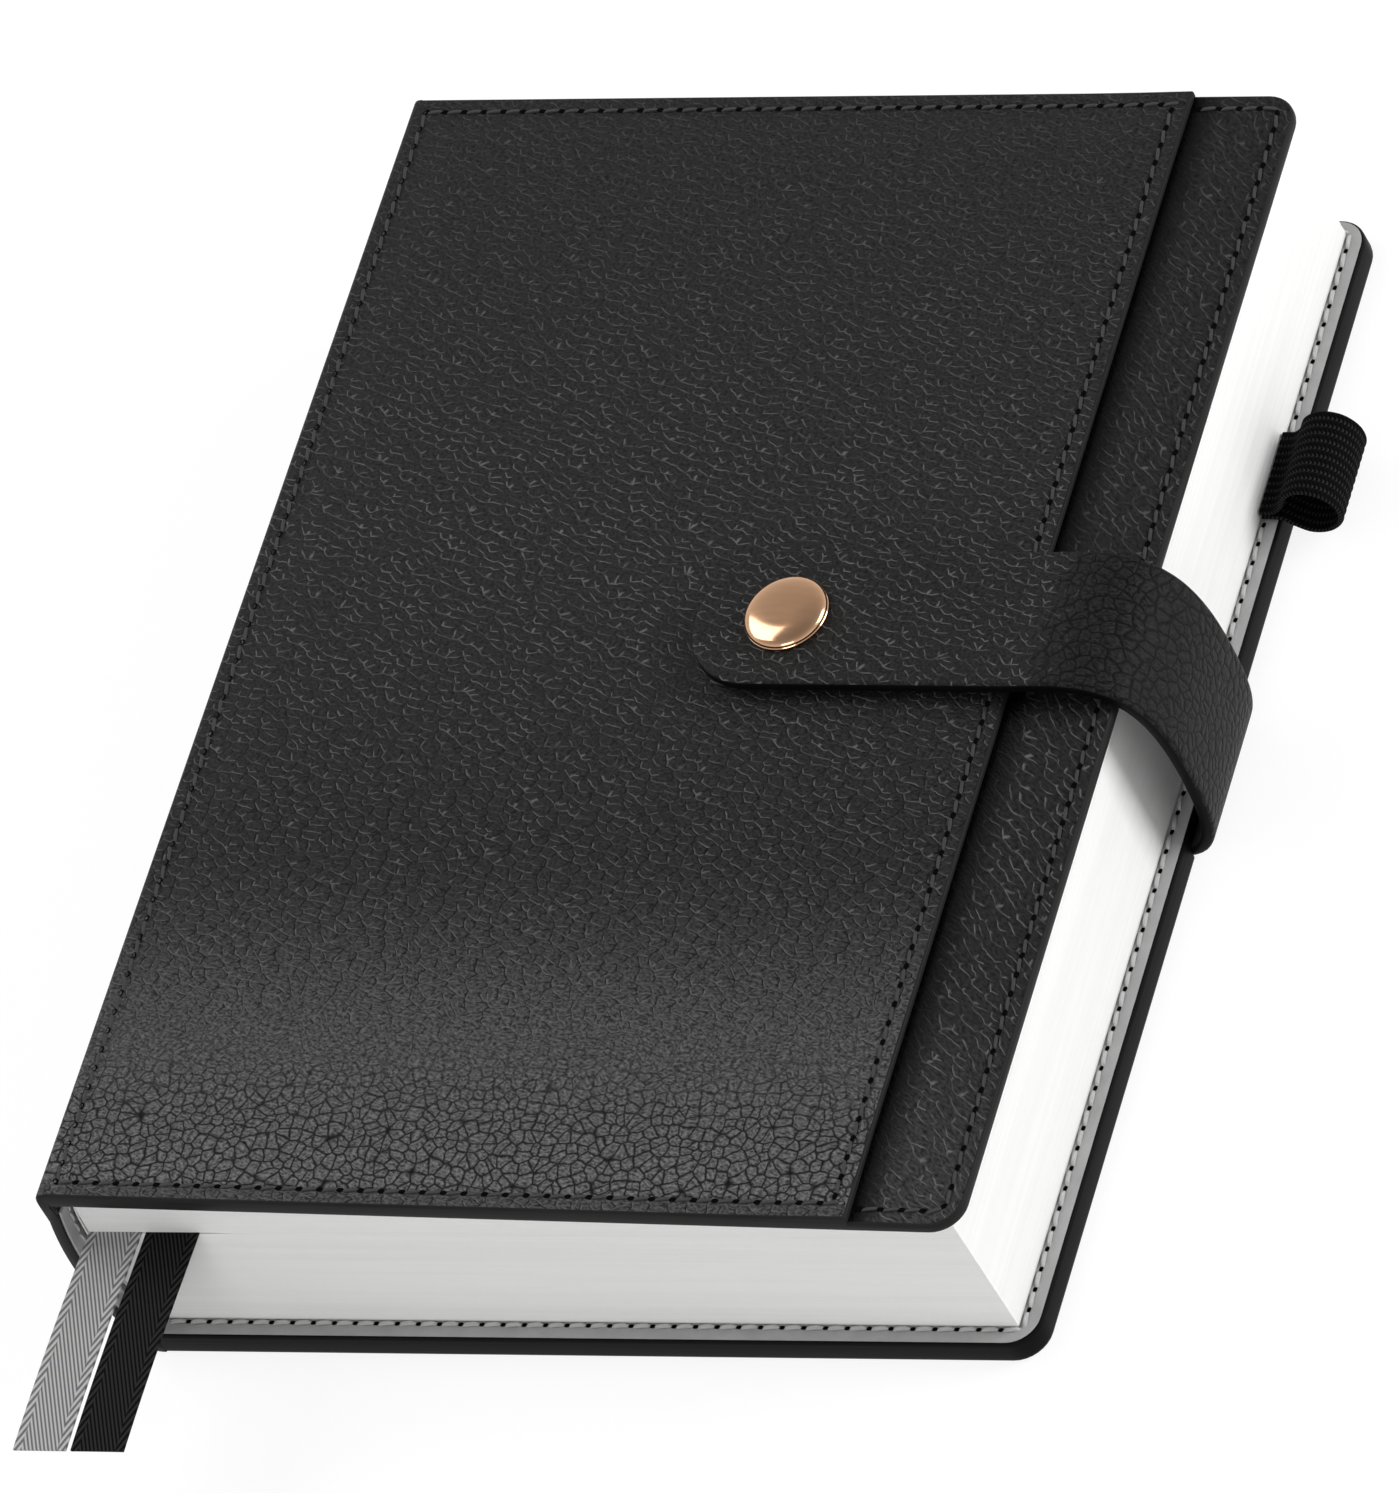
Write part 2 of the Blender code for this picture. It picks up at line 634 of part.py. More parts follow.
# Upright part, turning about the base bend
bend_gap = 0.012
side = [on_base(t) for t in spread(BASE_SPLIT, 0, 5)]
side += [on_bend(t) for t in spread(1, BEND_SPLIT + bend_gap, 6)]
ply("strap_side_leather", side, STRAP_LINING + FIT_GAP, STRAP_THICK, BLACK_LEATHER, SIDE)
ply("strap_side_lining", side, 0, STRAP_LINING, GREY_LINING, SIDE)

# Tab, lifting about the top bend
away_tab = on_bend(0)[1]
tab = [on_bend(t) for t in spread(BEND_SPLIT - bend_gap, 0, 9)]
widths = [STRAP_WIDTH / 2] * len(tab)
for turn in (90, 72, 54, 38, 24, 11):
    angle = math.radians(turn)
    tab.append((front_point(TAB_END + TAB_ROUND * (1 - math.cos(angle)), TAB_UNDER), away_tab))
    widths.append(STRAP_WIDTH / 2 * math.sin(angle))
tab_leather = ply("strap_tab_leather", tab, STRAP_LINING + FIT_GAP, STRAP_THICK, BLACK_LEATHER, TAB, widths)
tab_lining = ply("strap_tab_lining", tab, 0, STRAP_LINING, GREY_LINING, TAB, widths)


# Cap and socket, turned in the front cover's frame and given the tab's origin
def on_tab(name, profile, look):
    snap = turned(name, profile, SNAP, look, FRONT)
    into = Matrix.Translation(-TAB.translation * MM) @ snap.matrix_world
    snap.data.transform(into)
    snap.matrix_world = Matrix.Translation(TAB.translation * MM)
    return snap


dome = []
for turn in (0, 18, 36, 54, 72):
    angle = math.radians(turn)
    dome.append((CAP_RADIUS * math.cos(angle), CAP_BASE + CAP_RIM + CAP_DOME * math.sin(angle)))
on_tab(
    "snap_cap",
    [(0, CAP_BASE + CAP_RIM + CAP_DOME)]
    + dome[::-1]
    + [(CAP_RADIUS, CAP_BASE), (POST_RADIUS, CAP_BASE), (POST_RADIUS, SOCKET_ROOF), (0, SOCKET_ROOF)],
    ROSE_GOLD,
)
on_tab(
    "snap_socket",
    [
        (SOCKET_RADIUS, SOCKET_BASE),
        (SOCKET_RADIUS, SOCKET_TOP),
        (hole_radius, SOCKET_TOP),
        (hole_radius, SOCKET_ROOF),
        (NIPPLE_RADIUS + FIT_GAP, SOCKET_ROOF),
        (NIPPLE_RADIUS + FIT_GAP, SOCKET_BASE),
    ],
    STEEL,
)
bore("cap_hole", hole_radius, TAB_UNDER - CUT_PAST, CAP_BASE + CUT_PAST, FRONT, tab_leather)
bore("socket_hole", SOCKET_RADIUS + FIT_GAP, TAB_UNDER - CUT_PAST, SOCKET_TOP + FIT_GAP / 2, FRONT, tab_lining)
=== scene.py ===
"""Looks of a bound notebook in a black leather wrap cover, built round its solids.

Lengths are millimetres here and become metres in make(). X runs from the spine to the fore-edge, Y from
tail to head and Z up from the back cover's outer face. The front cover's pieces are drawn in its own tilted
frame, FRONT.
"""

import random
from functools import partial
from math import atan, copysign, cos, pi, radians, sin, sqrt, tau

import bmesh
import bpy
from mathutils import Matrix, Vector


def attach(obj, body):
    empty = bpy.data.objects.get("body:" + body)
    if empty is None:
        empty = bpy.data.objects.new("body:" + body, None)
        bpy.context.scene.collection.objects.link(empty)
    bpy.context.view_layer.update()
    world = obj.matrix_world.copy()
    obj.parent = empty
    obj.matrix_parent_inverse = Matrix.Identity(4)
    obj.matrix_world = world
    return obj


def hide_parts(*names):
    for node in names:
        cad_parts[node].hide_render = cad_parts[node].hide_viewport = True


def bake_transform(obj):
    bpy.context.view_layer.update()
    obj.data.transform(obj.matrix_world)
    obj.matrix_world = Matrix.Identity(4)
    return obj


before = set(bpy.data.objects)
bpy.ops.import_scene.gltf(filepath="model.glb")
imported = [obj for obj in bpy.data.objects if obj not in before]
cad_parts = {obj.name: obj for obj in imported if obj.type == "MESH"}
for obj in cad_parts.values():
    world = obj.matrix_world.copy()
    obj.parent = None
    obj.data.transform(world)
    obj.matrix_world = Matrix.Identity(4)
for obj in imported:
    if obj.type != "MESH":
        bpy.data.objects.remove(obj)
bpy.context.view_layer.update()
MM = 0.001

# Sizes of the solids that these pieces dress
COVER_WIDTH, COVER_HEIGHT, CORNER, SPINE_CORNER = 148.0, 204.0, 5.0, 0.15
X_SPINE, X_FORE, Y_HEAD = -COVER_WIDTH / 2, COVER_WIDTH / 2, COVER_HEIGHT / 2
BACK_THICK, BACK_START = 4.6, -71.3
FRONT_THICK, POCKET_TOP, MOUTH = 2.1, 1.4, 131.0
FOLD_HEIGHT, BLOCK_FALL = 40.6, 5.6
TILT = atan(BLOCK_FALL / COVER_WIDTH)
SPINE_BULGE, SPINE_LOW, SPINE_TOP, SPINE_THICK = 2.7, 0.3, 38.05, 2.4
X_PAGE, Y_PAGE, PAGE_BASE, PAGE_TOP = 70.8, 99.0, 5.22, 37.85
LEAVES_START, LEAVES_LOW, LEAVES_HIGH, BLOCK_ROUND = -70.7, 5.5, 37.6, 2.0
SEAM_INSET = 2.6
STRAP_WIDTH, STRAP_CENTRE, STRAP_LEAN, STRAP_THICK, STRAP_ANCHOR = 24.4, 1.1, 2.0, 2.1, 30.0
STRAP_SIDE, TAB_UNDER, TAB_END, TAB_ROUND = 78.2, 3.0, 78.8, 11.0
SNAP = (94.0, 1.1)
CAP_RADIUS, CAP_FOOT, CAP_SHOULDER, CAP_TOP = 6.6, 5.12, 5.8, 7.35
LOOP_LOW, LOOP_LENGTH, LOOP_RIB = 45.0, 15.4, 1.4
RIBBON_WIDTH, RIBBON_THICK, RIBBON_SPACE, RIBBON_HEIGHT, RIBBON_HEAD = 8.8, 0.36, 0.9, 27.5, 93.0
RIBBON_FREE, RIBBON_SAG, RIBBON_DRIFT = 35.6, 4.0, 3.0

FLAT = Matrix.Identity(4)
FRONT = Matrix.Translation((X_SPINE, 0, FOLD_HEIGHT)) @ Matrix.Rotation(TILT, 4, "Y")


# Colour and nodes
def rgb(hex_code):
    """An sRGB hex colour as linear red, green, blue and alpha."""
    parts = [int(hex_code[k : k + 2], 16) / 255 for k in (1, 3, 5)]
    return [c / 12.92 if c < 0.04045 else ((c + 0.055) / 1.055) ** 2.4 for c in parts] + [1.0]


def fill(node, inputs):
    """Sets a node's inputs; each is a value, or another node's output to link."""
    for key, value in inputs.items():
        if isinstance(value, bpy.types.NodeSocket):
            node.id_data.links.new(value, node.inputs[key])
        else:
            node.inputs[key].default_value = value


def add_node(tree, kind, inputs=(), out=0, **settings):
    """One output of a new node with its inputs and settings."""
    made = tree.nodes.new("ShaderNode" + kind)
    for key, value in settings.items():
        setattr(made, key, value)
    fill(made, dict(inputs))
    return made.outputs[out]


def span(value, low=0.0, high=1.0, start=0.0, end=1.0):
    """Inputs of a MapRange node: from low to high, a value becomes start to end."""
    return {"Value": value, "From Min": low, "From Max": high, "To Min": start, "To Max": end}


# Settings that many nodes share
SOFT = {"interpolation_type": "SMOOTHSTEP"}
TIMES, TIMES_PLUS = {"operation": "MULTIPLY"}, {"operation": "MULTIPLY_ADD"}
LESS, LARGER = {"operation": "SUBTRACT"}, {"operation": "MAXIMUM"}
TINT = {"data_type": "RGBA", "out": 2}


def material(name, solid=False):
    """A new material, what adds its nodes, and the place on a piece: its grain in millimetres, or a solid's
    own coordinates in metres."""
    mat = bpy.data.materials.new(name)
    mat.use_nodes = True
    add = partial(add_node, mat.node_tree)
    if solid:
        return mat, add, add("TexCoord", out="Object")
    return mat, add, add("Attribute", out="Vector", attribute_name="grain")


def dress(mat, add, colour, rough, height, strength, depth, shine, metallic=0.0):
    """The material with its shader filled in. The colour is an output, or a share and the two tones it goes
    between; the bump's depth is in millimetres."""
    if isinstance(colour, tuple):
        colour = add("Mix", {0: colour[0], 6: rgb(colour[1]), 7: rgb(colour[2])}, **TINT)
    bump = add("Bump", {"Height": height, "Strength": strength, "Distance": depth * MM})
    looks = {"Base Color": colour, "Roughness": rough, "Normal": bump}
    looks.update({"Specular IOR Level": shine, "Metallic": metallic})
    fill(mat.node_tree.nodes["Principled BSDF"], looks)
    return mat


# Leather: sizes in millimetres, the rims' width as a share of a pebble, the sides whose rims show painted
# highlight and painted shade, their tones, and zones out of every piece's reach
PEBBLE, OPEN_PEBBLE, RIM, SPECK, PATCH, STRAY = 1.6, 1.85, 0.15, 0.4, 3.0, 14.0
# Painted highlight shows on the rims facing the first side, painted shade on those facing the second
HIGHLIGHT_SIDE, SHADED_SIDE = (-0.3, -0.95, 0), (0.95, 0.3, 0)
# Tones of the painted highlight on the rims and the painted shade in the grooves
HIGHLIGHT_TONE, GROOVE_SHADE_TONE = "#6c6c6c", "#080808"
BELOW, ABOVE = (-900.0, -901.0, -902.0), (900.0, 901.0)
PLAIN_ZONES = {"faded": ABOVE, "wrinkled": BELOW[:2], "opened": BELOW, "rubbed": BELOW[:2]}


def pebbled_leather(name, flat, tones, slant, stretch, faded, wrinkled, opened, rubbed, covered=None):
    """PU leather, embossed with pebbles about 2 mm wide over a fine grain. Flat, only the pebbles' lower rims
    show, as short pale lines of painted highlight. Towards an edge that it is bent over, their right rims
    show as dark wrinkles of painted shade, then dark lines of painted shade all round them, and their tops
    change tone, partly wear and partly painted light. The zones are given along the grain's Y: where the
    highlights fade, where the wrinkles and the open lines begin and are full, and where the open lines stop.
    A painted shadow darkens the colour beside the pocket's mouth, over a span along X."""
    mat, add, at = material(name)
    bent = at
    for size, reach in ((6.0, 2.4), (1.2, 0.45)):
        stray = add("TexNoise", {"Vector": at, "Scale": 1 / size, "Detail": 1.5}, out="Color")
        stray = add("VectorMath", {0: stray, 1: (0.5, 0.5, 0.5)}, **LESS)
        bent = add("VectorMath", {0: stray, 1: (reach, reach, 0), 2: bent}, **TIMES_PLUS)

    def pebbles(turn, stretch, size):
        """Pebbles drawn out along one direction: their place, a spot's distance from their edge, the side it
        is on, and its distance from their middle."""
        turned = {"Vector": bent, "Angle": radians(turn)}
        laid = add("VectorRotate", turned, rotation_type="Z_AXIS")
        laid = add("VectorMath", {0: laid, 1: (stretch, 1, 0)}, **TIMES)
        cell = {"Vector": laid, "Scale": 1 / size, "Randomness": 0.9}
        edge = add("TexVoronoi", cell, voronoi_dimensions="2D", feature="DISTANCE_TO_EDGE")
        found = add("TexVoronoi", cell, voronoi_dimensions="2D").node.outputs
        side = add("VectorMath", {0: laid, 1: found["Position"]}, **LESS)
        side = add("VectorMath", {0: side}, operation="NORMALIZE")
        return laid, edge, side, found["Distance"]

    def rim(edge, side=None, towards=None):
        """Lines along the pebbles' edges, all round or only on the side that looks towards a direction."""
        line = add("MapRange", span(edge, 0.0, RIM, 1.0, 0.0), **SOFT)
        if not towards:
            return line
        facing = add("VectorMath", {0: side, 1: towards}, "Value", operation="DOT_PRODUCT")
        facing = add("MapRange", span(facing, 0.3, 0.75), **SOFT)
        return add("Math", {0: line, 1: facing}, **TIMES)

    # Painted highlight on the rims facing one side, painted shade on the rims facing another
    laid, edge, side, off = pebbles(slant, stretch, PEBBLE)
    apart = add("MapRange", span(off, 0.5, 0.8, 1.0, 0.5), **SOFT)
    rim_highlight = add("Math", {0: rim(edge, side, HIGHLIGHT_SIDE), 1: apart}, **TIMES)
    wrinkle_shade = rim(edge, side, SHADED_SIDE)
    # Painted shade in the grooves all round the pebbles and in their corners
    _, edge, _, off = pebbles(0, 0.95, OPEN_PEBBLE)
    corner = add("MapRange", span(off, 0.5, 0.95), **SOFT)
    groove = add("Math", {0: rim(edge), 1: corner}, **LARGER)
    speck = add("TexNoise", {"Vector": laid, "Scale": 1 / SPECK, "Detail": 2.0})
    speck = add("MapRange", span(speck, 0.32, 0.68))
    patch = add("TexNoise", {"Vector": at, "Scale": 1 / PATCH, "Detail": 2.0})
    across, along, _ = add("SeparateXYZ", {"Vector": at}).node.outputs

    # Zones, their borders strayed by the patches
    stray = add("Math", {0: patch, 1: 0.5}, **LESS)
    stray = add("Math", {0: stray, 1: STRAY, 2: along}, **TIMES_PLUS)
    lined = add("MapRange", span(stray, *wrinkled), **SOFT)
    zone = add("MapRange", span(stray, *opened[:2]), **SOFT)
    inside = add("MapRange", span(along, opened[2], opened[2] + 1.5))
    zone = add("Math", {0: zone, 1: inside}, **TIMES)
    closed = add("Math", {0: 1.0, 1: zone}, **LESS)
    # The tops' tone in a zone: partly wear, partly painted light
    wear_and_painted_light = add("MapRange", span(along, *rubbed), **SOFT)
    kept = add("MapRange", span(inside, start=0.4))
    wear_and_painted_light = add("Math", {0: wear_and_painted_light, 1: kept}, **TIMES)

    # Painted highlight on the rims, then painted shade in wrinkles and open lines
    shown = add("MapRange", span(patch, 0.36, 0.54, 0.35))
    fade = add("MapRange", span(along, *faded, 1.0, 0.35))
    fading = add("MapRange", span(lined, start=1.0, end=0.75))
    pale = rim_highlight
    for share in (shown, fade, fading, closed):
        pale = add("Math", {0: pale, 1: share}, **TIMES)
    lined = add("Math", {0: lined, 1: closed}, **TIMES)
    wrinkle_shade = add("Math", {0: wrinkle_shade, 1: lined}, **TIMES)
    groove = add("Math", {0: groove, 1: zone}, **TIMES)
    dark = add("Math", {0: wrinkle_shade, 1: groove}, **LARGER)

    body = add("Mix", {0: speck, 6: rgb(flat[0]), 7: rgb(flat[1])}, **TINT)
    # Tones of the tops: partly wear, partly painted light
    tops_wear_and_light = add("Mix", {0: speck, 6: rgb(tones[0]), 7: rgb(tones[1])}, **TINT)
    colour = add("Mix", {0: wear_and_painted_light, 6: body, 7: tops_wear_and_light}, **TINT)
    # Painted highlight on the rims, then painted shade in the wrinkles and grooves
    colour = add("Mix", {0: pale, 6: colour, 7: rgb(HIGHLIGHT_TONE)}, **TINT)
    colour = add("Mix", {0: dark, 6: colour, 7: rgb(GROOVE_SHADE_TONE)}, **TINT)
    # Painted shadow beside the pocket's mouth: the colour darkens over a span along X
    if covered:
        painted_mouth_shadow = add("MapRange", span(across, *covered, 0.05), **SOFT)
        colour = add("VectorMath", {0: colour, "Scale": painted_mouth_shadow}, operation="SCALE")
    rough = add("MapRange", span(speck, start=0.42, end=0.54))
    swell = add("MapRange", span(edge, high=0.4), **SOFT)
    swell = add("Math", {0: swell, 1: zone}, **TIMES)
    height = add("Math", {0: speck, 1: 0.6, 2: swell}, **TIMES_PLUS)
    height = add("Math", {0: dark, 1: -0.5, 2: height}, **TIMES_PLUS)
    return dress(mat, add, colour, rough, height, strength=0.7, depth=0.16, shine=0.08)


def edge_paint(name, dark, pale):
    """Acrylic edge paint, rubbed on cut leather: smooth and satin, with faint streaks along the edge."""
    mat, add, at = material(name)
    drawn = add("VectorMath", {0: at, 1: (0.06, 0.06, 2.2)}, **TIMES)
    streak = add("TexNoise", {"Vector": drawn, "Scale": 1.0, "Detail": 3.0})
    rough = add("MapRange", span(streak, start=0.36, end=0.5))
    return dress(mat, add, (streak, dark, pale), rough, streak, strength=0.3, depth=0.1, shine=0.05)


def coated_lining(name, dark, pale):
    """PU-coated lining, calendered: matt, with a fine grain of about 0.45 mm."""
    mat, add, at = material(name)
    cells = add("TexVoronoi", {"Vector": at, "Scale": 1 / 0.45}, voronoi_dimensions="2D")
    cloud = add("TexNoise", {"Vector": at, "Scale": 1 / 5.0, "Detail": 4.0})
    rough = add("MapRange", span(cloud, start=0.6, end=0.75))
    return dress(mat, add, (cloud, dark, pale), rough, cells, strength=0.5, depth=0.06, shine=0.3)


def twisted_thread(name, dark, pale):
    """Bonded polyester sewing thread, twisted: slanting plies about 0.35 mm apart with a slight sheen."""
    mat, add, at = material(name)
    along, around, _ = add("SeparateXYZ", {"Vector": at}).node.outputs
    slant = add("Math", {0: around, 1: 0.8, 2: along}, **TIMES_PLUS)
    turn = add("Math", {0: slant, 1: tau / 0.35}, **TIMES)
    ply = add("Math", {0: turn}, operation="SINE")
    ply = add("MapRange", span(ply, -1.0))
    return dress(mat, add, (ply, dark, pale), 0.55, ply, strength=0.6, depth=0.08, shine=0.3)


def needle_hole_shade():
    """Painted shade in a needle hole: black and matt, with a fine nap."""
    mat, add, at = material("needle_hole_painted_shade")
    nap = add("TexNoise", {"Vector": at, "Scale": 1 / 0.2})
    return dress(mat, add, (nap, "#020202", "#070707"), 0.95, nap, strength=0.3, depth=0.05, shine=0.05)


def page_edges():
    """Offset paper, guillotined: white edges with faint lines, drawn about 0.3 mm apart so that they show."""
    mat, add, at = material("offset_paper_guillotined")
    sheets = add("VectorMath", {0: at, 1: (0.02, 0.02, 3.2)}, **TIMES)
    sheets = {"Vector": sheets, "Scale": 1.0, "Detail": 4.0, "Roughness": 0.65}
    lines = add("TexNoise", sheets)
    packs = add("VectorMath", {0: at, 1: (0.006, 0.006, 0.35)}, **TIMES)
    bands = add("TexNoise", {"Vector": packs, "Scale": 1.0, "Detail": 1.0})
    both = add("Math", {0: lines, 1: bands}, **TIMES)
    tone = add("MapRange", span(both, 0.14, 0.3))
    return dress(mat, add, (tone, "#f5f5f4", "#fafaf9"), 0.85, lines, strength=0.2, depth=0.05, shine=0.2)


def endpaper():
    """Cartridge paper, calendered: off-white with a faint fibre of about 0.5 mm."""
    mat, add, at = material("cartridge_paper_calendered", solid=True)
    fibre = add("TexNoise", {"Vector": at, "Scale": 1 / (0.5 * MM), "Detail": 4.0})
    return dress(mat, add, (fibre, "#dededb", "#ecece9"), 0.85, fibre, strength=0.2, depth=0.03, shine=0.2)


def plated(name, dark, pale, smooth_end, hazy_end):
    """Plated metal, polished or stamped: a mirror with a faint haze of wiping marks about 1 mm apart."""
    mat, add, at = material(name, solid=True)
    marks = add("VectorMath", {0: at, 1: (0.2 / MM, 1 / MM, 1 / MM)}, **TIMES)
    haze = add("TexNoise", {"Vector": marks, "Scale": 1.0, "Detail": 3.0})
    rough = add("MapRange", span(haze, start=smooth_end, end=hazy_end))
    tones = haze, dark, pale
    return dress(mat, add, tones, rough, haze, strength=0.05, depth=0.01, shine=0.5, metallic=1.0)


def elastic_web():
    """Polyester elastic, woven over rubber cords: matt black ribs, with small grey stitches between them."""
    mat, add, at = material("polyester_elastic_woven")
    across, along, _ = add("SeparateXYZ", {"Vector": at}).node.outputs
    rib = add("Math", {0: across, 1: tau / LOOP_RIB}, **TIMES)
    rib = add("Math", {0: rib}, operation="COSINE")
    valley = add("MapRange", span(rib, 0.1, -0.8), **SOFT)
    zigzag = add("Math", {0: rib, 1: 0.22, 2: along}, **TIMES_PLUS)
    pick = add("Math", {0: zigzag, 1: tau / 0.62}, **TIMES)
    pick = add("Math", {0: pick}, operation="SINE")
    pick = add("MapRange", span(pick, -0.4, 0.9))
    stitch = add("Math", {0: pick, 1: valley}, **TIMES)
    base = add("Mix", {0: pick, 6: rgb("#030303"), 7: rgb("#0a0a0a")}, **TINT)
    colour = add("Mix", {0: stitch, 6: base, 7: rgb("#303031")}, **TINT)
    return dress(mat, add, colour, 0.8, pick, strength=0.5, depth=0.1, shine=0.05)


def twill_ribbon(name, dark, pale):
    """Polyester ribbon, woven in twill: slanting ribs, turned about and bolder in a border along each
    selvedge. The ribs are drawn 0.66 and 1 mm apart, somewhat coarser than they are, so that they show."""
    mat, add, at = material(name)
    across, along, _ = add("SeparateXYZ", {"Vector": at}).node.outputs
    side = add("Math", {0: across}, operation="ABSOLUTE")
    ribs = []
    for lean, apart in ((-0.465, 0.66), (0.534, 1.0)):
        rise = add("Math", {0: along, 1: lean, 2: across}, **TIMES_PLUS)
        rise = add("Math", {0: rise, 1: tau / apart}, **TIMES)
        ribs.append(add("Math", {0: rise}, operation="SINE"))
    border = add("Math", {0: side, 1: 0.35 * RIBBON_WIDTH}, operation="GREATER_THAN")
    rib = add("Mix", {0: border, 2: ribs[0], 3: ribs[1]})
    weave = add("MapRange", span(rib, -0.9, 0.9))
    return dress(mat, add, (weave, dark, pale), 0.65, weave, strength=0.5, depth=0.1, shine=0.04)


zones = {"faded": (20.0, 95.0), "wrinkled": (20.0, -45.0), "opened": (-62.0, -90.0, -100.4)}
tones = ("#141414", "#313131"), ("#2c2c2c", "#7b7b7b")
zones["rubbed"] = (-37.0, -104.0)
LEATHER = pebbled_leather("pu_leather_pebble_embossed", *tones, slant=16, stretch=0.62, **zones)
zones = PLAIN_ZONES | {"faded": (-40.0, 95.0), "rubbed": (-55.0, -100.0)}
# Painted shadow beside the pocket's mouth, over this span along X
zones["covered"] = (MOUTH + 1.0, MOUTH + 6.0)
tones = ("#101010", "#2c2c2c"), ("#181818", "#444444")
PLAIN_LEATHER = pebbled_leather("pu_leather_crease_embossed", *tones, slant=40, stretch=0.42, **zones)
zones = {"faded": ABOVE, "wrinkled": (70.0, 62.0), "opened": (80.0, 74.0, 20.0), "rubbed": (79.0, 72.0)}
tones = ("#111111", "#2c2c2c"), ("#0c0c0c", "#2a2a2a")
STRAP_LEATHER = pebbled_leather("pu_leather_strap_embossed", *tones, slant=104, stretch=0.7, **zones)
tones = ("#121212", "#2e2e2e"), ("#2a2a2a", "#787878")
BACK_LEATHER = pebbled_leather("pu_leather_back_embossed", *tones, slant=16, stretch=0.62, **PLAIN_ZONES)
EDGE = edge_paint("edge_paint_rubbed_acrylic", "#1b1b1b", "#2e2e2e")
# A darker copy of the edge paint: painted shade on the back cover's and the strap's edges
SHADED_EDGE = edge_paint("edge_paint_acrylic_painted_shade", "#060606", "#0f0f0f")
LINING = coated_lining("pu_lining_grey_calendered", "#969696", "#b8b8b8")
STRAP_LINING = coated_lining("pu_lining_black_calendered", "#161616", "#222222")
BLACK_THREAD = twisted_thread("polyester_thread_black_twisted", "#222223", "#4c4c4e")
GREY_THREAD = twisted_thread("polyester_thread_grey_twisted", "#a2a2a2", "#dadada")
# Painted shade for the needle holes
HOLE_SHADE = needle_hole_shade()
PAGES = page_edges()
PAPER = endpaper()
ROSE_GOLD = plated("rose_gold_plate_polished", "#d0a27e", "#dbb08d", 0.1, 0.18)
NICKEL = plated("nickel_plate_stamped", "#8e8e90", "#a6a6a8", 0.2, 0.34)
ELASTIC = elastic_web()
GREY_RIBBON = twill_ribbon("polyester_ribbon_grey_twill", "#6a6a6a", "#c6c6c6")
BLACK_RIBBON = twill_ribbon("polyester_ribbon_black_twill", "#010101", "#2e2e2e")


# Shapes: edges sharper than this many degrees stay sharp, and a panel's flat faces end this far in
SHARP, MIDDLE = 35, 12.0


def make(name, verts, faces, looks, grain, marks=None, sharp=SHARP):
    """A piece from points in millimetres, with each face's look by its number in looks."""
    mesh = bpy.data.meshes.new(name)
    mesh.from_pydata([Vector(v) * MM for v in verts], [], faces)
    work = bmesh.new()
    work.from_mesh(mesh)
    bmesh.ops.recalc_face_normals(work, faces=work.faces)
    work.to_mesh(mesh)
    work.free()
    for look in looks:
        mesh.materials.append(look)
    mesh.polygons.foreach_set("use_smooth", [True] * len(faces))
    if marks:
        mesh.polygons.foreach_set("material_index", marks)
    mesh.set_sharp_from_angle(angle=radians(sharp))
    layer = mesh.attributes.new("grain", "FLOAT_VECTOR", "POINT")
    layer.data.foreach_set("vector", [c for g in grain for c in g])
    obj = bpy.data.objects.new(name, mesh)
    bpy.context.scene.collection.objects.link(obj)
    return obj


def smooth(low, high, value):
    t = min(max((value - low) / (high - low), 0.0), 1.0)
    return t * t * (3 - 2 * t)


def arch(value, low, high):
    """One halfway from low to high, falling to zero at both."""
    return 1 - ((2 * value - low - high) / (high - low)) ** 2


def spread(low, high, count):
    return [low + (high - low) * k / (count - 1) for k in range(count)]


def bezier(a, b, c, d, count):
    line = []
    for t in spread(0, 1, count):
        s = 1 - t
        line.append(s**3 * a + 3 * s * s * t * b + 3 * s * t * t * c + t**3 * d)
    return line


def reaches(line):
    """Length along a line at each of its points."""
    lengths = [0.0]
    for a, b in zip(line, line[1:]):
        lengths.append(lengths[-1] + (b - a).length)
    return lengths


def locate(lengths, s):
    """The stretch of a line that a length along it falls in, and the share of that stretch before it."""
    s = min(max(s, 0.0), lengths[-1])
    k = next(i for i in range(len(lengths) - 1) if lengths[i + 1] >= s)
    return k, (s - lengths[k]) / max(lengths[k + 1] - lengths[k], 1e-9)


def outline(x0, x1, y0, y1, spine_round, fore_round, inset, arc=8, fill=14):
    """A panel's edge pulled in by inset, counterclockwise, with points along its straight sides too."""
    x0, x1, y0, y1 = x0 + inset, x1 - inset, y0 + inset, y1 - inset
    near, far = max(spine_round - inset, 0.1), max(fore_round - inset, 0.1)
    turns = []
    for cx, cy, radius, start in (
        (x0 + near, y0 + near, near, 180),
        (x1 - far, y0 + far, far, 270),
        (x1 - far, y1 - far, far, 0),
        (x0 + near, y1 - near, near, 90),
    ):
        angles = [radians(start + 90 * k / arc) for k in range(arc + 1)]
        turns.append([(cx + radius * cos(a), cy + radius * sin(a)) for a in angles])
    points = []
    for k, turn in enumerate(turns):
        (x, y), (next_x, next_y) = turn[-1], turns[(k + 1) % 4][0]
        between = zip(spread(x, next_x, fill + 2), spread(y, next_y, fill + 2))
        points += turn + list(between)[1:-1]
    return points


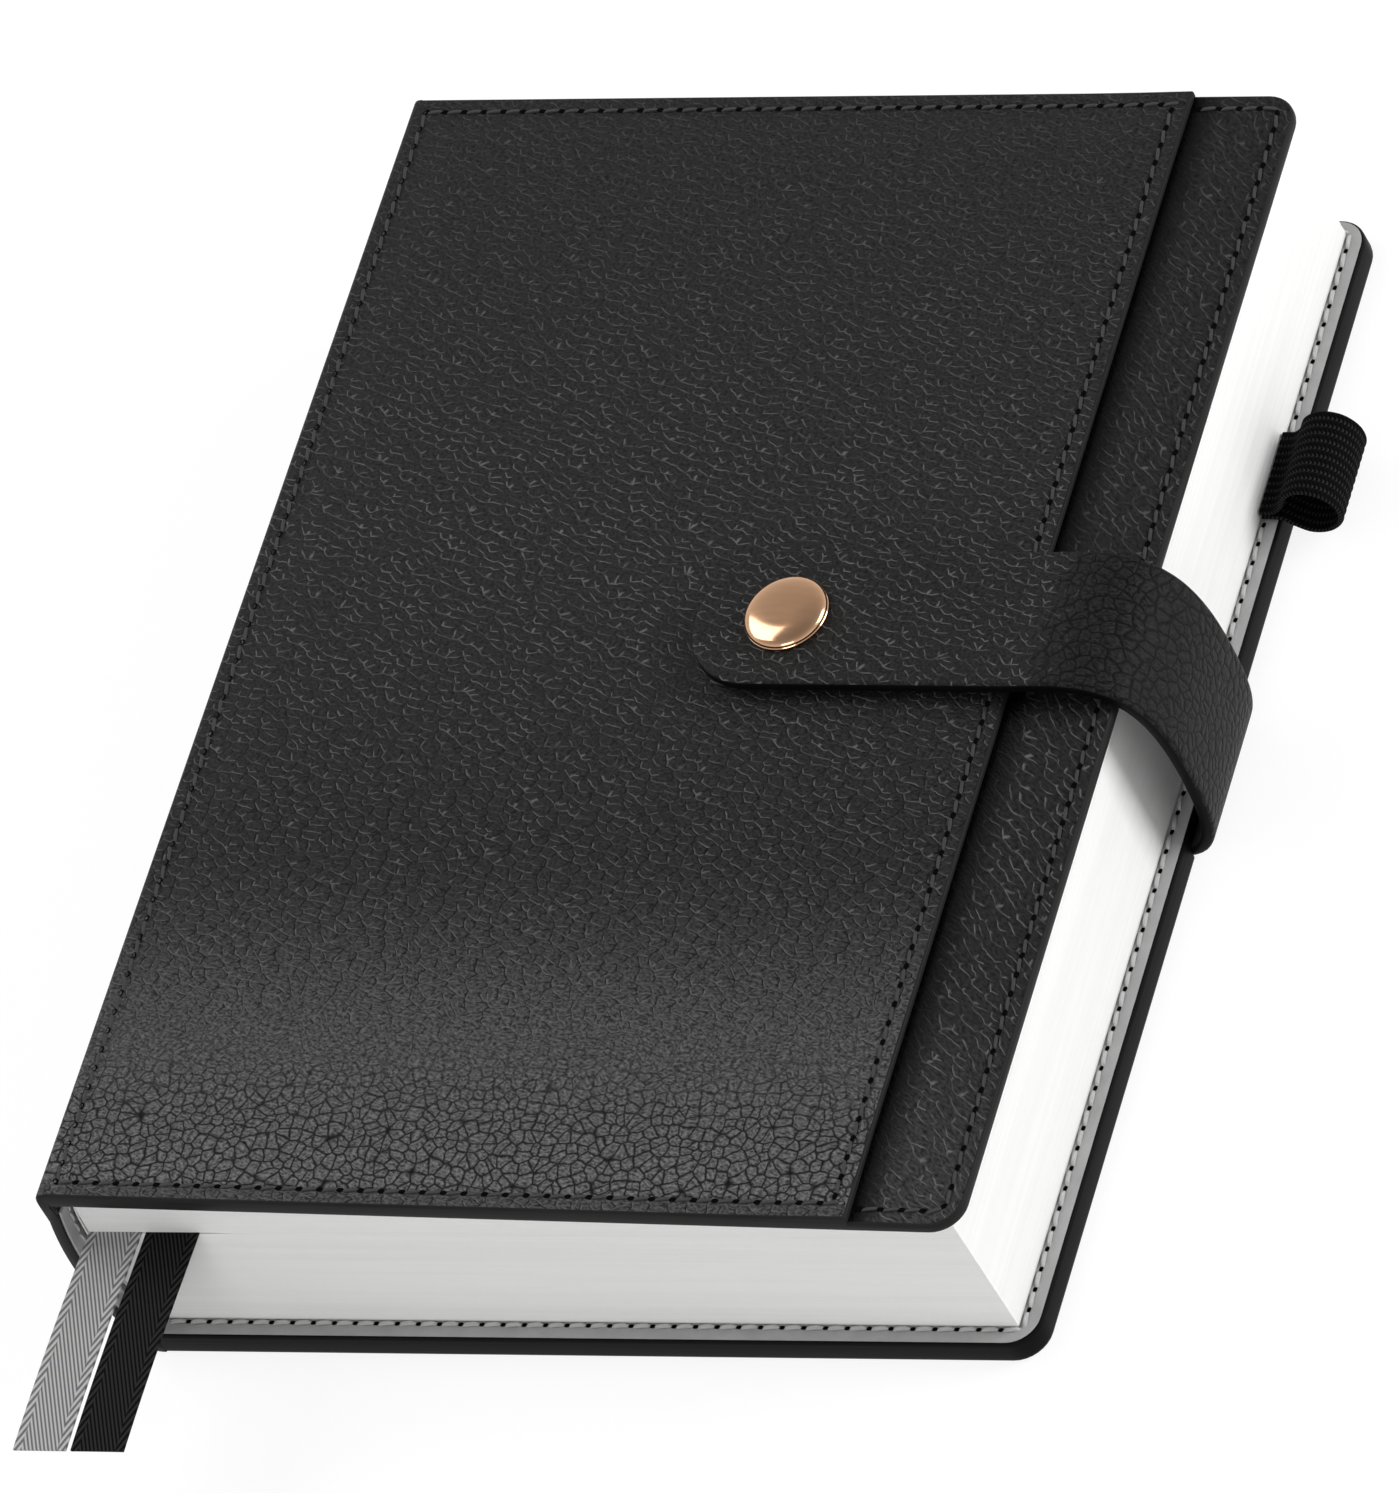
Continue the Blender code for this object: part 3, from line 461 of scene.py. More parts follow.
def rings_to_faces(count, size):
    """Faces of a closed body through rings of points, its two ends last."""
    faces = []
    for low in range(count - 1):
        for k in range(size):
            a, b = low * size + k, low * size + (k + 1) % size
            faces.append([a, b, b + size, a + size])
    faces.append(list(range(size))[::-1])
    faces.append([(count - 1) * size + k for k in range(size)])
    return faces


def panel(name, edge, levels, looks, place):
    """A body through a panel's outline at each (inset, height, look above it), from underside to top."""
    verts, grain, marks = [], [], []
    size = len(outline(*edge, 0))
    for inset, height, look in levels:
        for x, y in outline(*edge, inset):
            z = height(x, y) if callable(height) else height
            verts.append(place @ Vector((x, y, z)))
            grain.append((x, y, z))
        marks += [look] * size
    marks = marks[:-size] + [levels[0][2], levels[-1][2]]
    return make(name, verts, rings_to_faces(len(levels), size), looks, grain, marks)


def drawn_along_y(name, outer, inner, half, looks, grain_x, easing):
    """A sheet between two lines of as many points in X and Z, drawn out along Y, its ends eased."""
    count = len(outer)
    ease = [(0.0, 0.45), (0.12, 0.24), (0.4, 0.08), (1.0, 0.0)]
    stations = [(-half + easing * a, easing * b) for a, b in ease]
    stations += [(y, 0.0) for y in spread(-half + easing, half - easing, 24)[1:-1]]
    stations += [(half - easing * a, easing * b) for a, b in reversed(ease)]
    verts, grain, marks = [], [], []
    for n, (y, pull) in enumerate(stations):
        for side, other in ((outer, inner), (inner[::-1], outer[::-1])):
            for (x, z), facing in zip(side, other):
                toward = Vector((facing[0] - x, facing[1] - z)).normalized() * pull
                verts.append((x + toward.x, y, z + toward.y))
        grain += [(g, y, 0.0) for g in list(grain_x) + list(grain_x)[::-1]]
        end = len(looks) > 1 and (n < 2 or n > len(stations) - 4)
        marks += [1 if end else 0] * (2 * count)
    marks = marks[: -2 * count] + [len(looks) - 1] * 2
    return make(name, verts, rings_to_faces(len(stations), 2 * count), looks, grain, marks)


def swept(name, line, across, way, profile, look, sharp=SHARP):
    """A profile of (across, up) carried along a line, with one direction across and its way up 1 or -1."""
    verts, grain = [], []
    for k, (point, reach) in enumerate(zip(line, reaches(line))):
        ahead = line[min(k + 1, len(line) - 1)] - line[max(k - 1, 0)]
        up = across.cross(ahead).normalized() * way
        for v, h in profile:
            verts.append(point + across * v + up * h)
            grain.append((v, reach, h))
    return make(name, verts, rings_to_faces(len(line), len(profile)), [look], grain, sharp=sharp)


def lathe(name, profile, centre, place, look, steps=96):
    """A body turned about the frame's Z from a profile of (radius, height), both ends on the axis."""
    verts, faces, grain, rings = [], [], [], []
    for radius, height in profile:
        size = steps if radius > 1e-6 else 1
        rings.append([len(verts) + k for k in range(size)])
        for k in range(size):
            a = tau * k / steps
            local = Vector((centre[0] + radius * cos(a), centre[1] + radius * sin(a), height))
            verts.append(place @ local)
            grain.append(tuple(local))
    for one, two in zip(rings, rings[1:]):
        for k in range(steps):
            quad = [one[k % len(one)], one[(k + 1) % len(one)], two[(k + 1) % len(two)], two[k % len(two)]]
            corners = list(dict.fromkeys(quad))
            if len(corners) > 2:
                faces.append(corners)
    return make(name, verts, faces, [look], grain)


STRAND_SHARES, STRAND_SIDES = (-0.5, -0.46, -0.36, -0.2, 0.0, 0.2, 0.36, 0.46, 0.5), 8
HOLED_LONG, PLAIN_LONG, HOLE_SIDES, HOLE_RISE, HOLE_DEPTH = 0.82, 0.9, 12, 0.1, 0.4


def sewn(name, runs, pitch, thick, look, slant, hole):
    """Stitches along runs of (point, up): bent strands whose ends dive into needle holes, small black bodies
    of painted shade, given by half their length, half their width and the height of their rim."""
    verts, faces, grain, marks = [], [], [], []
    for run in runs:
        lengths = reaches([point for point, _ in run])
        count = max(1, round(lengths[-1] / pitch))
        step = lengths[-1] / count

        def at(s):
            k, share = locate(lengths, s)
            (here, up), (after, next_up) = run[k], run[k + 1]
            return here.lerp(after, share), up.lerp(next_up, share).normalized()

        for n in range(count):
            middle, up = at(step * (n + 0.5))
            ahead = (at(step * (n + 0.94))[0] - at(step * (n + 0.06))[0]).normalized()
            side = up.cross(ahead)
            first, long = len(verts), step * (HOLED_LONG if hole else PLAIN_LONG)
            for share in STRAND_SHARES:
                bow = 1 - (2 * share) ** 4
                radius = thick / 2 * (0.55 + 0.45 * bow)
                spine = middle + ahead * (long * share) + side * (slant * long * share)
                spine = spine + up * (thick * (0.62 * bow - 0.36))
                for k in range(STRAND_SIDES):
                    a = tau * k / STRAND_SIDES
                    verts.append(spine + side * (radius * cos(a)) + up * (radius * sin(a)))
                    grain.append((long * share, a * thick / 2, float(n)))
            strand = rings_to_faces(len(STRAND_SHARES), STRAND_SIDES)
            faces += [[first + i for i in f] for f in strand]
            marks += [0] * len(strand)
        for n in range(count + 1 if hole else 0):
            point, up = at(step * n)
            ahead = (at(step * n + 0.2)[0] - at(step * n - 0.2)[0]).normalized()
            side = up.cross(ahead)
            first = len(verts)
            verts += [point + up * HOLE_RISE, point - up * HOLE_DEPTH]
            for k in range(HOLE_SIDES):
                a = tau * k / HOLE_SIDES
                out = ahead * (hole[0] * cos(a)) + side * (hole[1] * sin(a))
                verts.append(point + out + up * hole[2])
            grain += [tuple(v) for v in verts[first:]]
            for k in range(HOLE_SIDES):
                a, b = first + 2 + k, first + 2 + (k + 1) % HOLE_SIDES
                faces += [[first, a, b], [first + 1, b, a]]
                marks += [1, 1]
    return make(name, verts, faces, [look, HOLE_SHADE] if hole else [look], grain, marks)


def wear(obj, body, slot, *nodes):
    """The piece rides on its body and stands for these nodes, which it hides; the slot is not used."""
    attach(obj, body)
    if nodes:
        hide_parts(*nodes)


# Camera at the photograph's angle
AZIMUTH, ELEVATION, ROLL = radians(41.496), radians(45.83), radians(-33.075)
TARGET, DISTANCE = Vector((-2.98, -4.936, 18.0)), 2022.118
FOCAL_PIXELS, LONG_SIDE = 13577.653, 1493
around, along = sin(AZIMUTH), -cos(AZIMUTH)
away = Vector((around * cos(ELEVATION), along * cos(ELEVATION), sin(ELEVATION)))
level = Vector((0, 0, 1)).cross(away).normalized()
upright = away.cross(level)
right = cos(ROLL) * level + sin(ROLL) * upright
top = cos(ROLL) * upright - sin(ROLL) * level
lens = bpy.data.cameras.new("camera")
lens.sensor_width = 36.0
lens.lens = FOCAL_PIXELS / LONG_SIDE * lens.sensor_width
lens.clip_start, lens.clip_end = 0.1, 20.0
camera = bpy.data.objects.new("camera", lens)
turned = Matrix((right, top, away)).transposed().to_4x4()
camera.matrix_world = Matrix.Translation((TARGET + away * DISTANCE) * MM) @ turned
bpy.context.scene.collection.objects.link(camera)
bpy.context.scene.camera = camera


# Ribbons: one band each from the head of the block, between the leaves and out past the tail
def leaf_edge(z):
    """X of the page block's rounded back at a height."""
    return LEAVES_START - BLOCK_ROUND * arch(z, LEAVES_LOW, LEAVES_HIGH)


RIBBON_LEFT = leaf_edge(RIBBON_HEIGHT)
RIBBON_PROFILE = []
for share in spread(-1, 1, 15):
    RIBBON_PROFILE.append((share * RIBBON_WIDTH / 2, RIBBON_THICK / 2 * (1 + 0.25 * abs(share) ** 8)))
RIBBON_PROFILE += [(v, -h) for v, h in reversed(RIBBON_PROFILE)]
for name, left, look in (
    ("grey_ribbon", RIBBON_LEFT, GREY_RIBBON),
    ("black_ribbon", RIBBON_LEFT + RIBBON_WIDTH + RIBBON_SPACE, BLACK_RIBBON),
):
    middle = left + RIBBON_WIDTH / 2
    line = [Vector((middle, y, RIBBON_HEIGHT)) for y in spread(RIBBON_HEAD, -Y_PAGE, 20)]
    for along in spread(0, 1, 22)[1:]:
        x = middle - RIBBON_DRIFT * along**1.5
        line.append(Vector((x, -Y_PAGE - RIBBON_FREE * along, RIBBON_HEIGHT - RIBBON_SAG * along**2)))
    run = reaches(line)
    band = swept(name, line, Vector((1, 0, 0)), -1, RIBBON_PROFILE, look)
    wear(band, "back_cover", name, name + "_held", name + "_free")

# Page block in two stacks of leaves, parted by the ribbons
RANDOM = random.Random(7)
RIBBON_ZONE = RIBBON_LEFT + 2 * RIBBON_WIDTH + RIBBON_SPACE
LEAF_SHARES = [0, 0.01, 0.03, 0.05, 0.08, 0.11, 0.14, 0.17, 0.2, 0.25, 0.3, 0.4, 0.5, 0.6, 0.7, 0.8, 0.9, 1.0]
LEAF_PULL, PARTING_LEAST, PARTING_MORE, PARTING_RUN = 0.06, 0.01, 0.2, 7


def parting(x):
    """Half of the gap between the stacks, open round the ribbons and closing past them."""
    return PARTING_LEAST + PARTING_MORE * (1 - smooth(RIBBON_ZONE, RIBBON_ZONE + PARTING_RUN, x))


def leaves(name, low, high, count, node):
    """A stack of leaves between two heights, each level pulled in a little at random."""
    verts = []
    for level in range(count):
        share = level / (count - 1)
        pulls = [RANDOM.uniform(0.0, LEAF_PULL) for _ in range(3)]
        x0, x1 = leaf_edge(low(0) + share * (high(0) - low(0))), X_PAGE - pulls[0]
        row = [x0 + (x1 - x0) * s for s in LEAF_SHARES]
        loop = [(x, -Y_PAGE + pulls[1]) for x in row]
        loop += [(x1, y) for y in spread(-Y_PAGE, Y_PAGE, 14)[1:-1]]
        loop += [(x, Y_PAGE - pulls[2]) for x in reversed(row)]
        loop += [(x0, y) for y in spread(Y_PAGE, -Y_PAGE, 6)[1:-1]]
        verts += [(x, y, low(x) + share * (high(x) - low(x))) for x, y in loop]
    faces = rings_to_faces(count, len(verts) // count)
    wear(make(name, verts, faces, [PAGES], verts, sharp=50), "back_cover", "paper", node)


leaves("lower_page_stack", lambda x: PAGE_BASE, lambda x: RIBBON_HEIGHT - parting(x), 70, "lower_leaves")
page_top = lambda x: PAGE_TOP - BLOCK_FALL / COVER_WIDTH * (x - X_SPINE)
leaves("upper_page_stack", lambda x: RIBBON_HEIGHT + parting(x), page_top, 36, "upper_leaves")

# Back cover: leather shell with a painted edge, cut for the strap's sewn end, and its lining
BACK_EDGE = (BACK_START, X_FORE, -Y_HEAD, Y_HEAD, SPINE_CORNER, CORNER)
LINING_BASE, NOTCH_GAP, NOTCH_PAST = BACK_THICK - 0.6, 0.3, 2
levels = [(MIDDLE, 0.0, 0), (0.9, 0.0, 0), (0.35, 0.12, 0), (0.08, 0.4, 1), (0.0, 0.9, 1)]
for inset, drop in ((0.0, 0.8), (0.06, 0.4), (0.22, 0.14), (0.5, 0.06), (0.7, 0.3)):
    levels.append((inset, BACK_THICK - drop, 1))
levels += [(0.75, LINING_BASE, 1), (MIDDLE, LINING_BASE, 1)]
shell = panel("back_cover_leather", BACK_EDGE, levels, [BACK_LEATHER, SHADED_EDGE], FLAT)
anchor_middle, notch_half = STRAP_CENTRE - STRAP_LEAN, STRAP_WIDTH / 2 + NOTCH_GAP
corners = []
for x in (X_FORE - STRAP_ANCHOR - NOTCH_GAP, X_FORE + NOTCH_PAST):
    for y in (anchor_middle - notch_half, anchor_middle + notch_half):
        corners += [(x, y, -NOTCH_PAST), (x, y, STRAP_THICK + NOTCH_GAP)]
sides = [[0, 1, 3, 2], [4, 6, 7, 5], [0, 4, 5, 1], [2, 3, 7, 6], [0, 2, 6, 4], [1, 5, 7, 3]]
notch = make("notch", corners, sides, [SHADED_EDGE], corners)
cut = shell.modifiers.new("notch", "BOOLEAN")
cut.operation, cut.solver, cut.object = "DIFFERENCE", "EXACT", notch
bpy.context.view_layer.update()
hollowed = bpy.data.meshes.new_from_object(shell.evaluated_get(bpy.context.evaluated_depsgraph_get()))
shell.modifiers.clear()
shell.data = hollowed
bpy.data.objects.remove(notch)
hollowed.set_sharp_from_angle(angle=radians(SHARP))
grain = [c / MM for v in hollowed.vertices for c in v.co]
hollowed.attributes["grain"].data.foreach_set("vector", grain)
wear(shell, "back_cover", "leather", "back_leather", "back_board")
levels = [(MIDDLE, LINING_BASE + 0.02, 0), (0.5, LINING_BASE + 0.02, 0), (0.34, BACK_THICK - 0.2, 0)]
levels += [(0.45, BACK_THICK - 0.04, 0), (0.8, BACK_THICK, 0)]
for past, drop in ((-0.6, 0.0), (-0.3, 0.08), (0.0, 0.14), (0.3, 0.08), (0.6, 0.0)):
    levels.append((SEAM_INSET + past, BACK_THICK - drop, 0))
levels.append((MIDDLE, BACK_THICK, 0))
sheet = panel("back_cover_lining", BACK_EDGE, levels, [LINING], FLAT)
wear(sheet, "back_cover", "lining", "back_lining")


def lining_runs(x0, x1, z, place, gap=None):
    """The seam round three sides of a lining, as runs of points with the way up, left open at a gap in Y."""
    up = (place.to_3x3() @ Vector((0, 0, 1))).normalized()
    y = Y_HEAD - SEAM_INSET
    pieces = [((x0, -y), (x1, -y)), ((x1, -y), (x1, y)), ((x1, y), (x0, y))]
    if gap:
        pieces[1:2] = [((x1, -y), (x1, gap[0])), ((x1, gap[1]), (x1, y))]
    return [[(place @ Vector((*end, z)), up) for end in piece] for piece in pieces]


# Seams by their pitch, thread's width, thread, slant and needle hole
LINING_SEAM = 3.5, 0.74, GREY_THREAD, 0.1, (0.5, 0.36, 0.06)
SPINE_SEAM = 2.8, 0.42, GREY_THREAD, 0.1, None
FRONT_SEAM = 3.35, 0.58, BLACK_THREAD, 0.16, (0.62, 0.4, 0.15)
gap = (LOOP_LOW - 0.6, LOOP_LOW + LOOP_LENGTH + 0.6)
runs = lining_runs(BACK_START + 1.5, X_FORE - SEAM_INSET, BACK_THICK - 0.1, FLAT, gap)
seam = sewn("back_cover_stitches", runs, *LINING_SEAM)
wear(seam, "back_cover", "grey_thread", "back_seam_thread")

# Pen loop: a ribbed elastic band round a teardrop path, its two ends sewn down on the lining
LOOP_POINTS = [(71.2, 6.3), (73.2, 6.35), (74.9, 7.6), (76.6, 10.1), (79.3, 11.2), (82.3, 10.2), (84.02, 7.4)]
LOOP_POINTS += [(83.6, 4.2), (81.2, 2.1), (78.2, 1.95), (75.9, 3.5), (74.2, 5.0), (71.2, 5.35)]
LOOP_HALF, LOOP_VALLEY, LOOP_RISE, SELVEDGE = LOOP_LENGTH / 2, 0.25, 0.23, 0.35


def through(points, steps):
    """A smooth line through points, by Catmull-Rom."""
    line = []
    for k in range(len(points) - 1):
        p0, p1 = points[max(k - 1, 0)], points[k]
        p2, p3 = points[k + 1], points[min(k + 2, len(points) - 1)]
        for t in spread(0, 1, steps + 1)[:-1]:
            bow = (2 * p0 - 5 * p1 + 4 * p2 - p3) * t * t + (3 * p1 - p0 - 3 * p2 + p3) * t**3
            line.append(0.5 * (2 * p1 + (p2 - p0) * t + bow))
    return line + [points[-1]]


loop_line = through([Vector((x, LOOP_LOW + LOOP_HALF, z)) for x, z in LOOP_POINTS], 7)
loop_profile = []
for v in spread(-LOOP_HALF, LOOP_HALF, 89):
    end = min(1.0, (LOOP_HALF - abs(v)) / SELVEDGE)
    rib = LOOP_VALLEY + LOOP_RISE * abs(cos(pi * v / LOOP_RIB))
    loop_profile.append((v, rib * (0.35 + 0.65 * sqrt(end))))
loop_profile += [(v, -h) for v, h in reversed(loop_profile)]
loop = swept("pen_loop_band", loop_line, Vector((0, 1, 0)), 1, loop_profile, ELASTIC, sharp=60)
wear(loop, "back_cover", "elastic", "pen_loop")


# Spine: bowed leather with a lining, and the two folds that join it to the covers
def bowed(z, offset=0.0):
    return X_SPINE - SPINE_BULGE * arch(z, SPINE_LOW, SPINE_TOP) + offset


def front_xz(x, z):
    point = FRONT @ Vector((x, 0, z))
    return Vector((point.x, point.z))


FOLD_LOW, FOLD_HIGH, FOLD_CUT, FOLD_EASE = 4.2, 34.6, 1.2, 0.5
LEATHER_THICK = SPINE_THICK - 0.4
POCKET_RIM = 0.95
heights = spread(FOLD_LOW, FOLD_HIGH, 21)
outer, inner = ([(bowed(z, deep), z) for z in heights] for deep in (0.0, LEATHER_THICK))
grain_x = [-z for z in heights]
wrap = drawn_along_y("spine_leather_wrap", outer, inner, Y_HEAD, [LEATHER, EDGE], grain_x, FOLD_EASE)
wear(wrap, "spine", "leather", "spine_leather", "spine_board")
heights = spread(5.4, 36.6, 21)
outer, inner = ([(bowed(z, deep), z) for z in heights] for deep in (LEATHER_THICK - 0.02, SPINE_THICK))
strip = drawn_along_y("spine_lining_strip", outer, inner, Y_HEAD - 0.35, [LINING], heights, 0.15)
wear(strip, "spine", "lining", "spine_lining")
for name, y in (("spine_tail", -Y_HEAD + SEAM_INSET), ("spine_head", Y_HEAD - SEAM_INSET)):
    run = [(Vector((bowed(z, SPINE_THICK), y, z)), Vector((1, 0, 0))) for z in spread(6.2, 36.2, 12)]
    seam = sewn(name + "_stitches", [run], *SPINE_SEAM)
    wear(seam, "spine", "grey_thread", name + "_thread")


def fold_piece(name, outer, inner, start, hinge):
    """A fold of the leather between two Bezier lines in X and Z, from the spine round to a cover."""
    outer, inner = bezier(*outer, 16), bezier(*inner, 16)
    grain_x = [start - r for r in reaches(outer)]
    fold = drawn_along_y(name, outer, inner, Y_HEAD, [LEATHER, EDGE], grain_x, FOLD_EASE)
    start, end = (Vector((p.x, 0, p.y)) * MM for p in hinge)
    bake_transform(fold)


outer = [front_xz(FOLD_CUT, POCKET_RIM), front_xz(-0.9, POCKET_RIM + 0.05)]
outer += [Vector((X_SPINE - 0.55, 40.2)), Vector((bowed(FOLD_HIGH), FOLD_HIGH))]
inner = [front_xz(FOLD_CUT, -FRONT_THICK + 0.02), front_xz(0.6, -FRONT_THICK)]
inner.append(Vector((bowed(36.5, LEATHER_THICK) + 0.15, 37.4)))
inner.append(Vector((bowed(FOLD_HIGH, LEATHER_THICK), FOLD_HIGH)))
hinge = front_xz(0.8, 0), Vector((X_SPINE - 0.2, 36.2))
fold_piece("front_fold_leather", outer, inner, FOLD_CUT, hinge)
outer = [Vector((bowed(FOLD_LOW), FOLD_LOW)), Vector((X_SPINE - 0.35, 1.6))]
outer += [Vector((X_SPINE + 0.1, 0.03)), Vector((BACK_START + 0.02, 0.02))]
inner = [Vector((bowed(FOLD_LOW, LEATHER_THICK), FOLD_LOW)), Vector((X_SPINE + 1.7, 3.4))]
inner += [Vector((X_SPINE + 2.0, 2.4)), Vector((BACK_START + 0.02, 2.2))]
hinge = Vector((X_SPINE, 3.6)), Vector((BACK_START - 0.4, 0.6))
fold_piece("back_fold_leather", outer, inner, -FOLD_LOW, hinge)


# Front cover: leather slab, lining, and the pocket panel that its seam presses down round three sides
SEAM_DEPTH = 0.14


def seam_dip(inset, edge_top, rise):
    """Height of a sewn panel's face from its edge inwards: flat rim, groove under the stitches, swell."""
    groove = SEAM_DEPTH * max(0.0, 1 - ((inset - SEAM_INSET) / 0.8) ** 2) ** 2
    return edge_top - groove + rise * smooth(SEAM_INSET + 0.3, SEAM_INSET + 7.5, inset)


def rim_height(x):
    """Height of the pocket panel's rim, pressed down at the sewn sides and standing up at its mouth."""
    return POCKET_RIM + 0.3 * smooth(MOUTH - 14, MOUTH - 1, x)


def sole(x, y):
    """The pocket panel's underside: sewn down at the sides, standing off at the mouth."""
    return 0.03 + 0.3 * smooth(MOUTH - 9, MOUTH - 0.5, x) * (1 - smooth(Y_HEAD - 5, Y_HEAD - 1.5, abs(y)))


def wall_foot(x, y):
    """Foot of the pocket panel's painted edge: over the slab's shoulder at the sewn sides, at the panel's
    underside at the mouth."""
    return -0.8 + (sole(x, y) + 0.95) * smooth(MOUTH - 0.35, MOUTH - 0.02, x)


def rim(drop):
    return lambda x, y: rim_height(x) - drop


def pocket_face(inset):
    return lambda x, y: seam_dip(inset, rim_height(x), POCKET_TOP + 0.08 - rim_height(x))


FACE_INSETS = [0.8, 1.3, 1.7]
FACE_INSETS += [SEAM_INSET + d for d in (-0.65, -0.45, -0.3, -0.15, 0, 0.15, 0.3, 0.45, 0.65)]
FACE_INSETS += [3.6, 4.4, 5.6, 7.0, 8.6, 10.2]
FRONT_EDGE = (FOLD_CUT, COVER_WIDTH, -Y_HEAD, Y_HEAD, SPINE_CORNER, CORNER)
SLAB_TOP, SLAB_SWELL = -0.04, 0.03
levels = []
for inset, rise in ((MIDDLE, 0.3), (0.75, 0.3), (0.7, 0.06), (0.4, 0.02), (0.1, 0.25), (0.0, 0.6)):
    levels.append((inset, -FRONT_THICK + rise, 1))
levels += [(0.0, -0.75, 1), (0.05, -0.42, 1), (0.18, -0.18, 1), (0.42, -0.06, 0)]
levels += [(d, seam_dip(d, SLAB_TOP, SLAB_SWELL), 0) for d in FACE_INSETS]
slab = panel("front_cover_leather", FRONT_EDGE, levels, [PLAIN_LEATHER, EDGE], FRONT)
wear(slab, "front_cover", "leather", "front_leather", "front_board")
lining = [(MIDDLE, 0.0), (SEAM_INSET + 0.6, 0.0), (SEAM_INSET, 0.12), (SEAM_INSET - 0.6, 0.0)]
lining += [(0.85, 0.0), (0.6, 0.08), (0.62, 0.27), (MIDDLE, 0.27)]
levels = [(inset, -FRONT_THICK + rise, 0) for inset, rise in lining]
sheet = panel("front_cover_lining", FRONT_EDGE, levels, [LINING], FRONT)
wear(sheet, "front_cover", "lining", "front_lining")
under = FRONT @ Matrix.Rotation(pi, 4, "X")
runs = lining_runs(FOLD_CUT + 2, COVER_WIDTH - SEAM_INSET, FRONT_THICK - 0.1, under)
seam = sewn("front_lining_stitches", runs, *LINING_SEAM)
wear(seam, "front_cover", "grey_thread")
levels = [(MIDDLE, sole, 2), (0.6, sole, 2), (-0.015, wall_foot, 1)]
levels += [(-0.015, rim(0.38), 1), (0.06, rim(0.2), 1), (0.18, rim(0.07), 1), (0.4, rim(0.0), 0)]
levels += [(d, pocket_face(d), 0) for d in FACE_INSETS]
POCKET_EDGE = (FOLD_CUT - 0.5, MOUTH, -Y_HEAD, Y_HEAD, SPINE_CORNER, 0.3)
pocket = panel("pocket_panel", POCKET_EDGE, levels, [LEATHER, EDGE, LINING], FRONT)
wear(pocket, "front_cover", "leather", "pocket_leather", "pocket_lining")

# Seams on the front: round all four sides, and along the pocket's mouth
FRONT_UP = (FRONT.to_3x3() @ Vector((0, 0, 1))).normalized()
ON_LINE = 0.4


def seam_point(x, y):
    height = (rim_height(x) if x < MOUTH else SLAB_TOP) - SEAM_DEPTH
    return FRONT @ Vector((x, y, height)), FRONT_UP


seam_line = outline(0, COVER_WIDTH, -Y_HEAD, Y_HEAD, SPINE_CORNER, CORNER - 0.6, SEAM_INSET, arc=6, fill=60)
on_strip = [p for p in seam_line if p[0] > MOUTH + 1.0]
on_pocket = set(p for p in seam_line if p[0] <= MOUTH - 0.8)
tail_part = sorted(p for p in on_pocket if p[1] < -Y_HEAD + SEAM_INSET + ON_LINE)
head_part = sorted(p for p in on_pocket if p[1] > Y_HEAD - SEAM_INSET - ON_LINE)
spine_part = sorted((p for p in on_pocket if p[0] < SEAM_INSET + ON_LINE), key=lambda p: p[1])
runs = [[seam_point(*p) for p in part] for part in (on_strip, tail_part, spine_part, head_part)]
seam = sewn("front_stitches", runs, *FRONT_SEAM)
wear(seam, "front_cover", "black_thread", "front_seam_thread")
mouth_end = Y_HEAD - SEAM_INSET - 1.2
run = [seam_point(MOUTH - SEAM_INSET, y) for y in spread(-mouth_end, mouth_end, 8)]
seam = sewn("pocket_mouth_stitches", [run], *FRONT_SEAM)
wear(seam, "front_cover", "black_thread", "pocket_mouth_thread")

# Strap: one flat band with a round end, laid along its path and split in the middle of its upright part
FOOT_BACK, BELLY_HEIGHT, SPLIT_HEIGHT, TIP_SPARE = 1.6, 15.5, 15.0, 1.0
FOOT_PULL, BELLY_DOWN, BELLY_UP = Vector((3.8, 0)), Vector((-0.3, -9.1)), Vector((0.7, 21))
ROOT_ZONE, FLAP_ZONE = ((73.9, 0.8), (78.9, 7.5)), ((78.4, 26.0), (66.0, 38.8))
FINE_REACH, FINE_STEP, COARSE_STEP = 62, 0.8, 3.0
bend_x = MOUTH + 1
bend_start = front_xz(bend_x, TAB_UNDER)
bend_pull = Vector((X_FORE - 0.5, bend_start.y + 0.5))
foot, belly = Vector((X_FORE - FOOT_BACK, STRAP_THICK)), Vector((STRAP_SIDE, BELLY_HEIGHT))
path = [Vector((x, STRAP_THICK)) for x in spread(X_FORE - STRAP_ANCHOR, foot.x, 8)]
path += bezier(foot, foot + FOOT_PULL, belly + BELLY_DOWN, belly, 28)[1:]
path += bezier(belly, belly + BELLY_UP, bend_pull, bend_start, 44)[1:]
path += [front_xz(x, TAB_UNDER) for x in spread(bend_x, TAB_END - TIP_SPARE, 30)[1:]]
reach = reaches(path)
STRAP_LENGTH = reach[-1] - TIP_SPARE
SPLIT = next(r for r, p in zip(reach, path) if p.y > SPLIT_HEIGHT and p.x > X_FORE)


def on_path(u):
    """A point of the strap's inner face, the way out of it, and the strap's middle in Y, which leans."""
    k, share = locate(reach, u)
    point = path[k].lerp(path[k + 1], share)
    near = (path[k + 1] - path[max(k - 1, 0)]).normalized()
    far = (path[min(k + 2, len(path) - 1)] - path[k]).normalized()
    ahead = near.lerp(far, share).normalized()
    fall = min(max((bend_start.y - point.y) / (bend_start.y - foot.y), 0.0), 1.0)
    return point, Vector((ahead.y, -ahead.x)), STRAP_CENTRE - STRAP_LEAN * fall


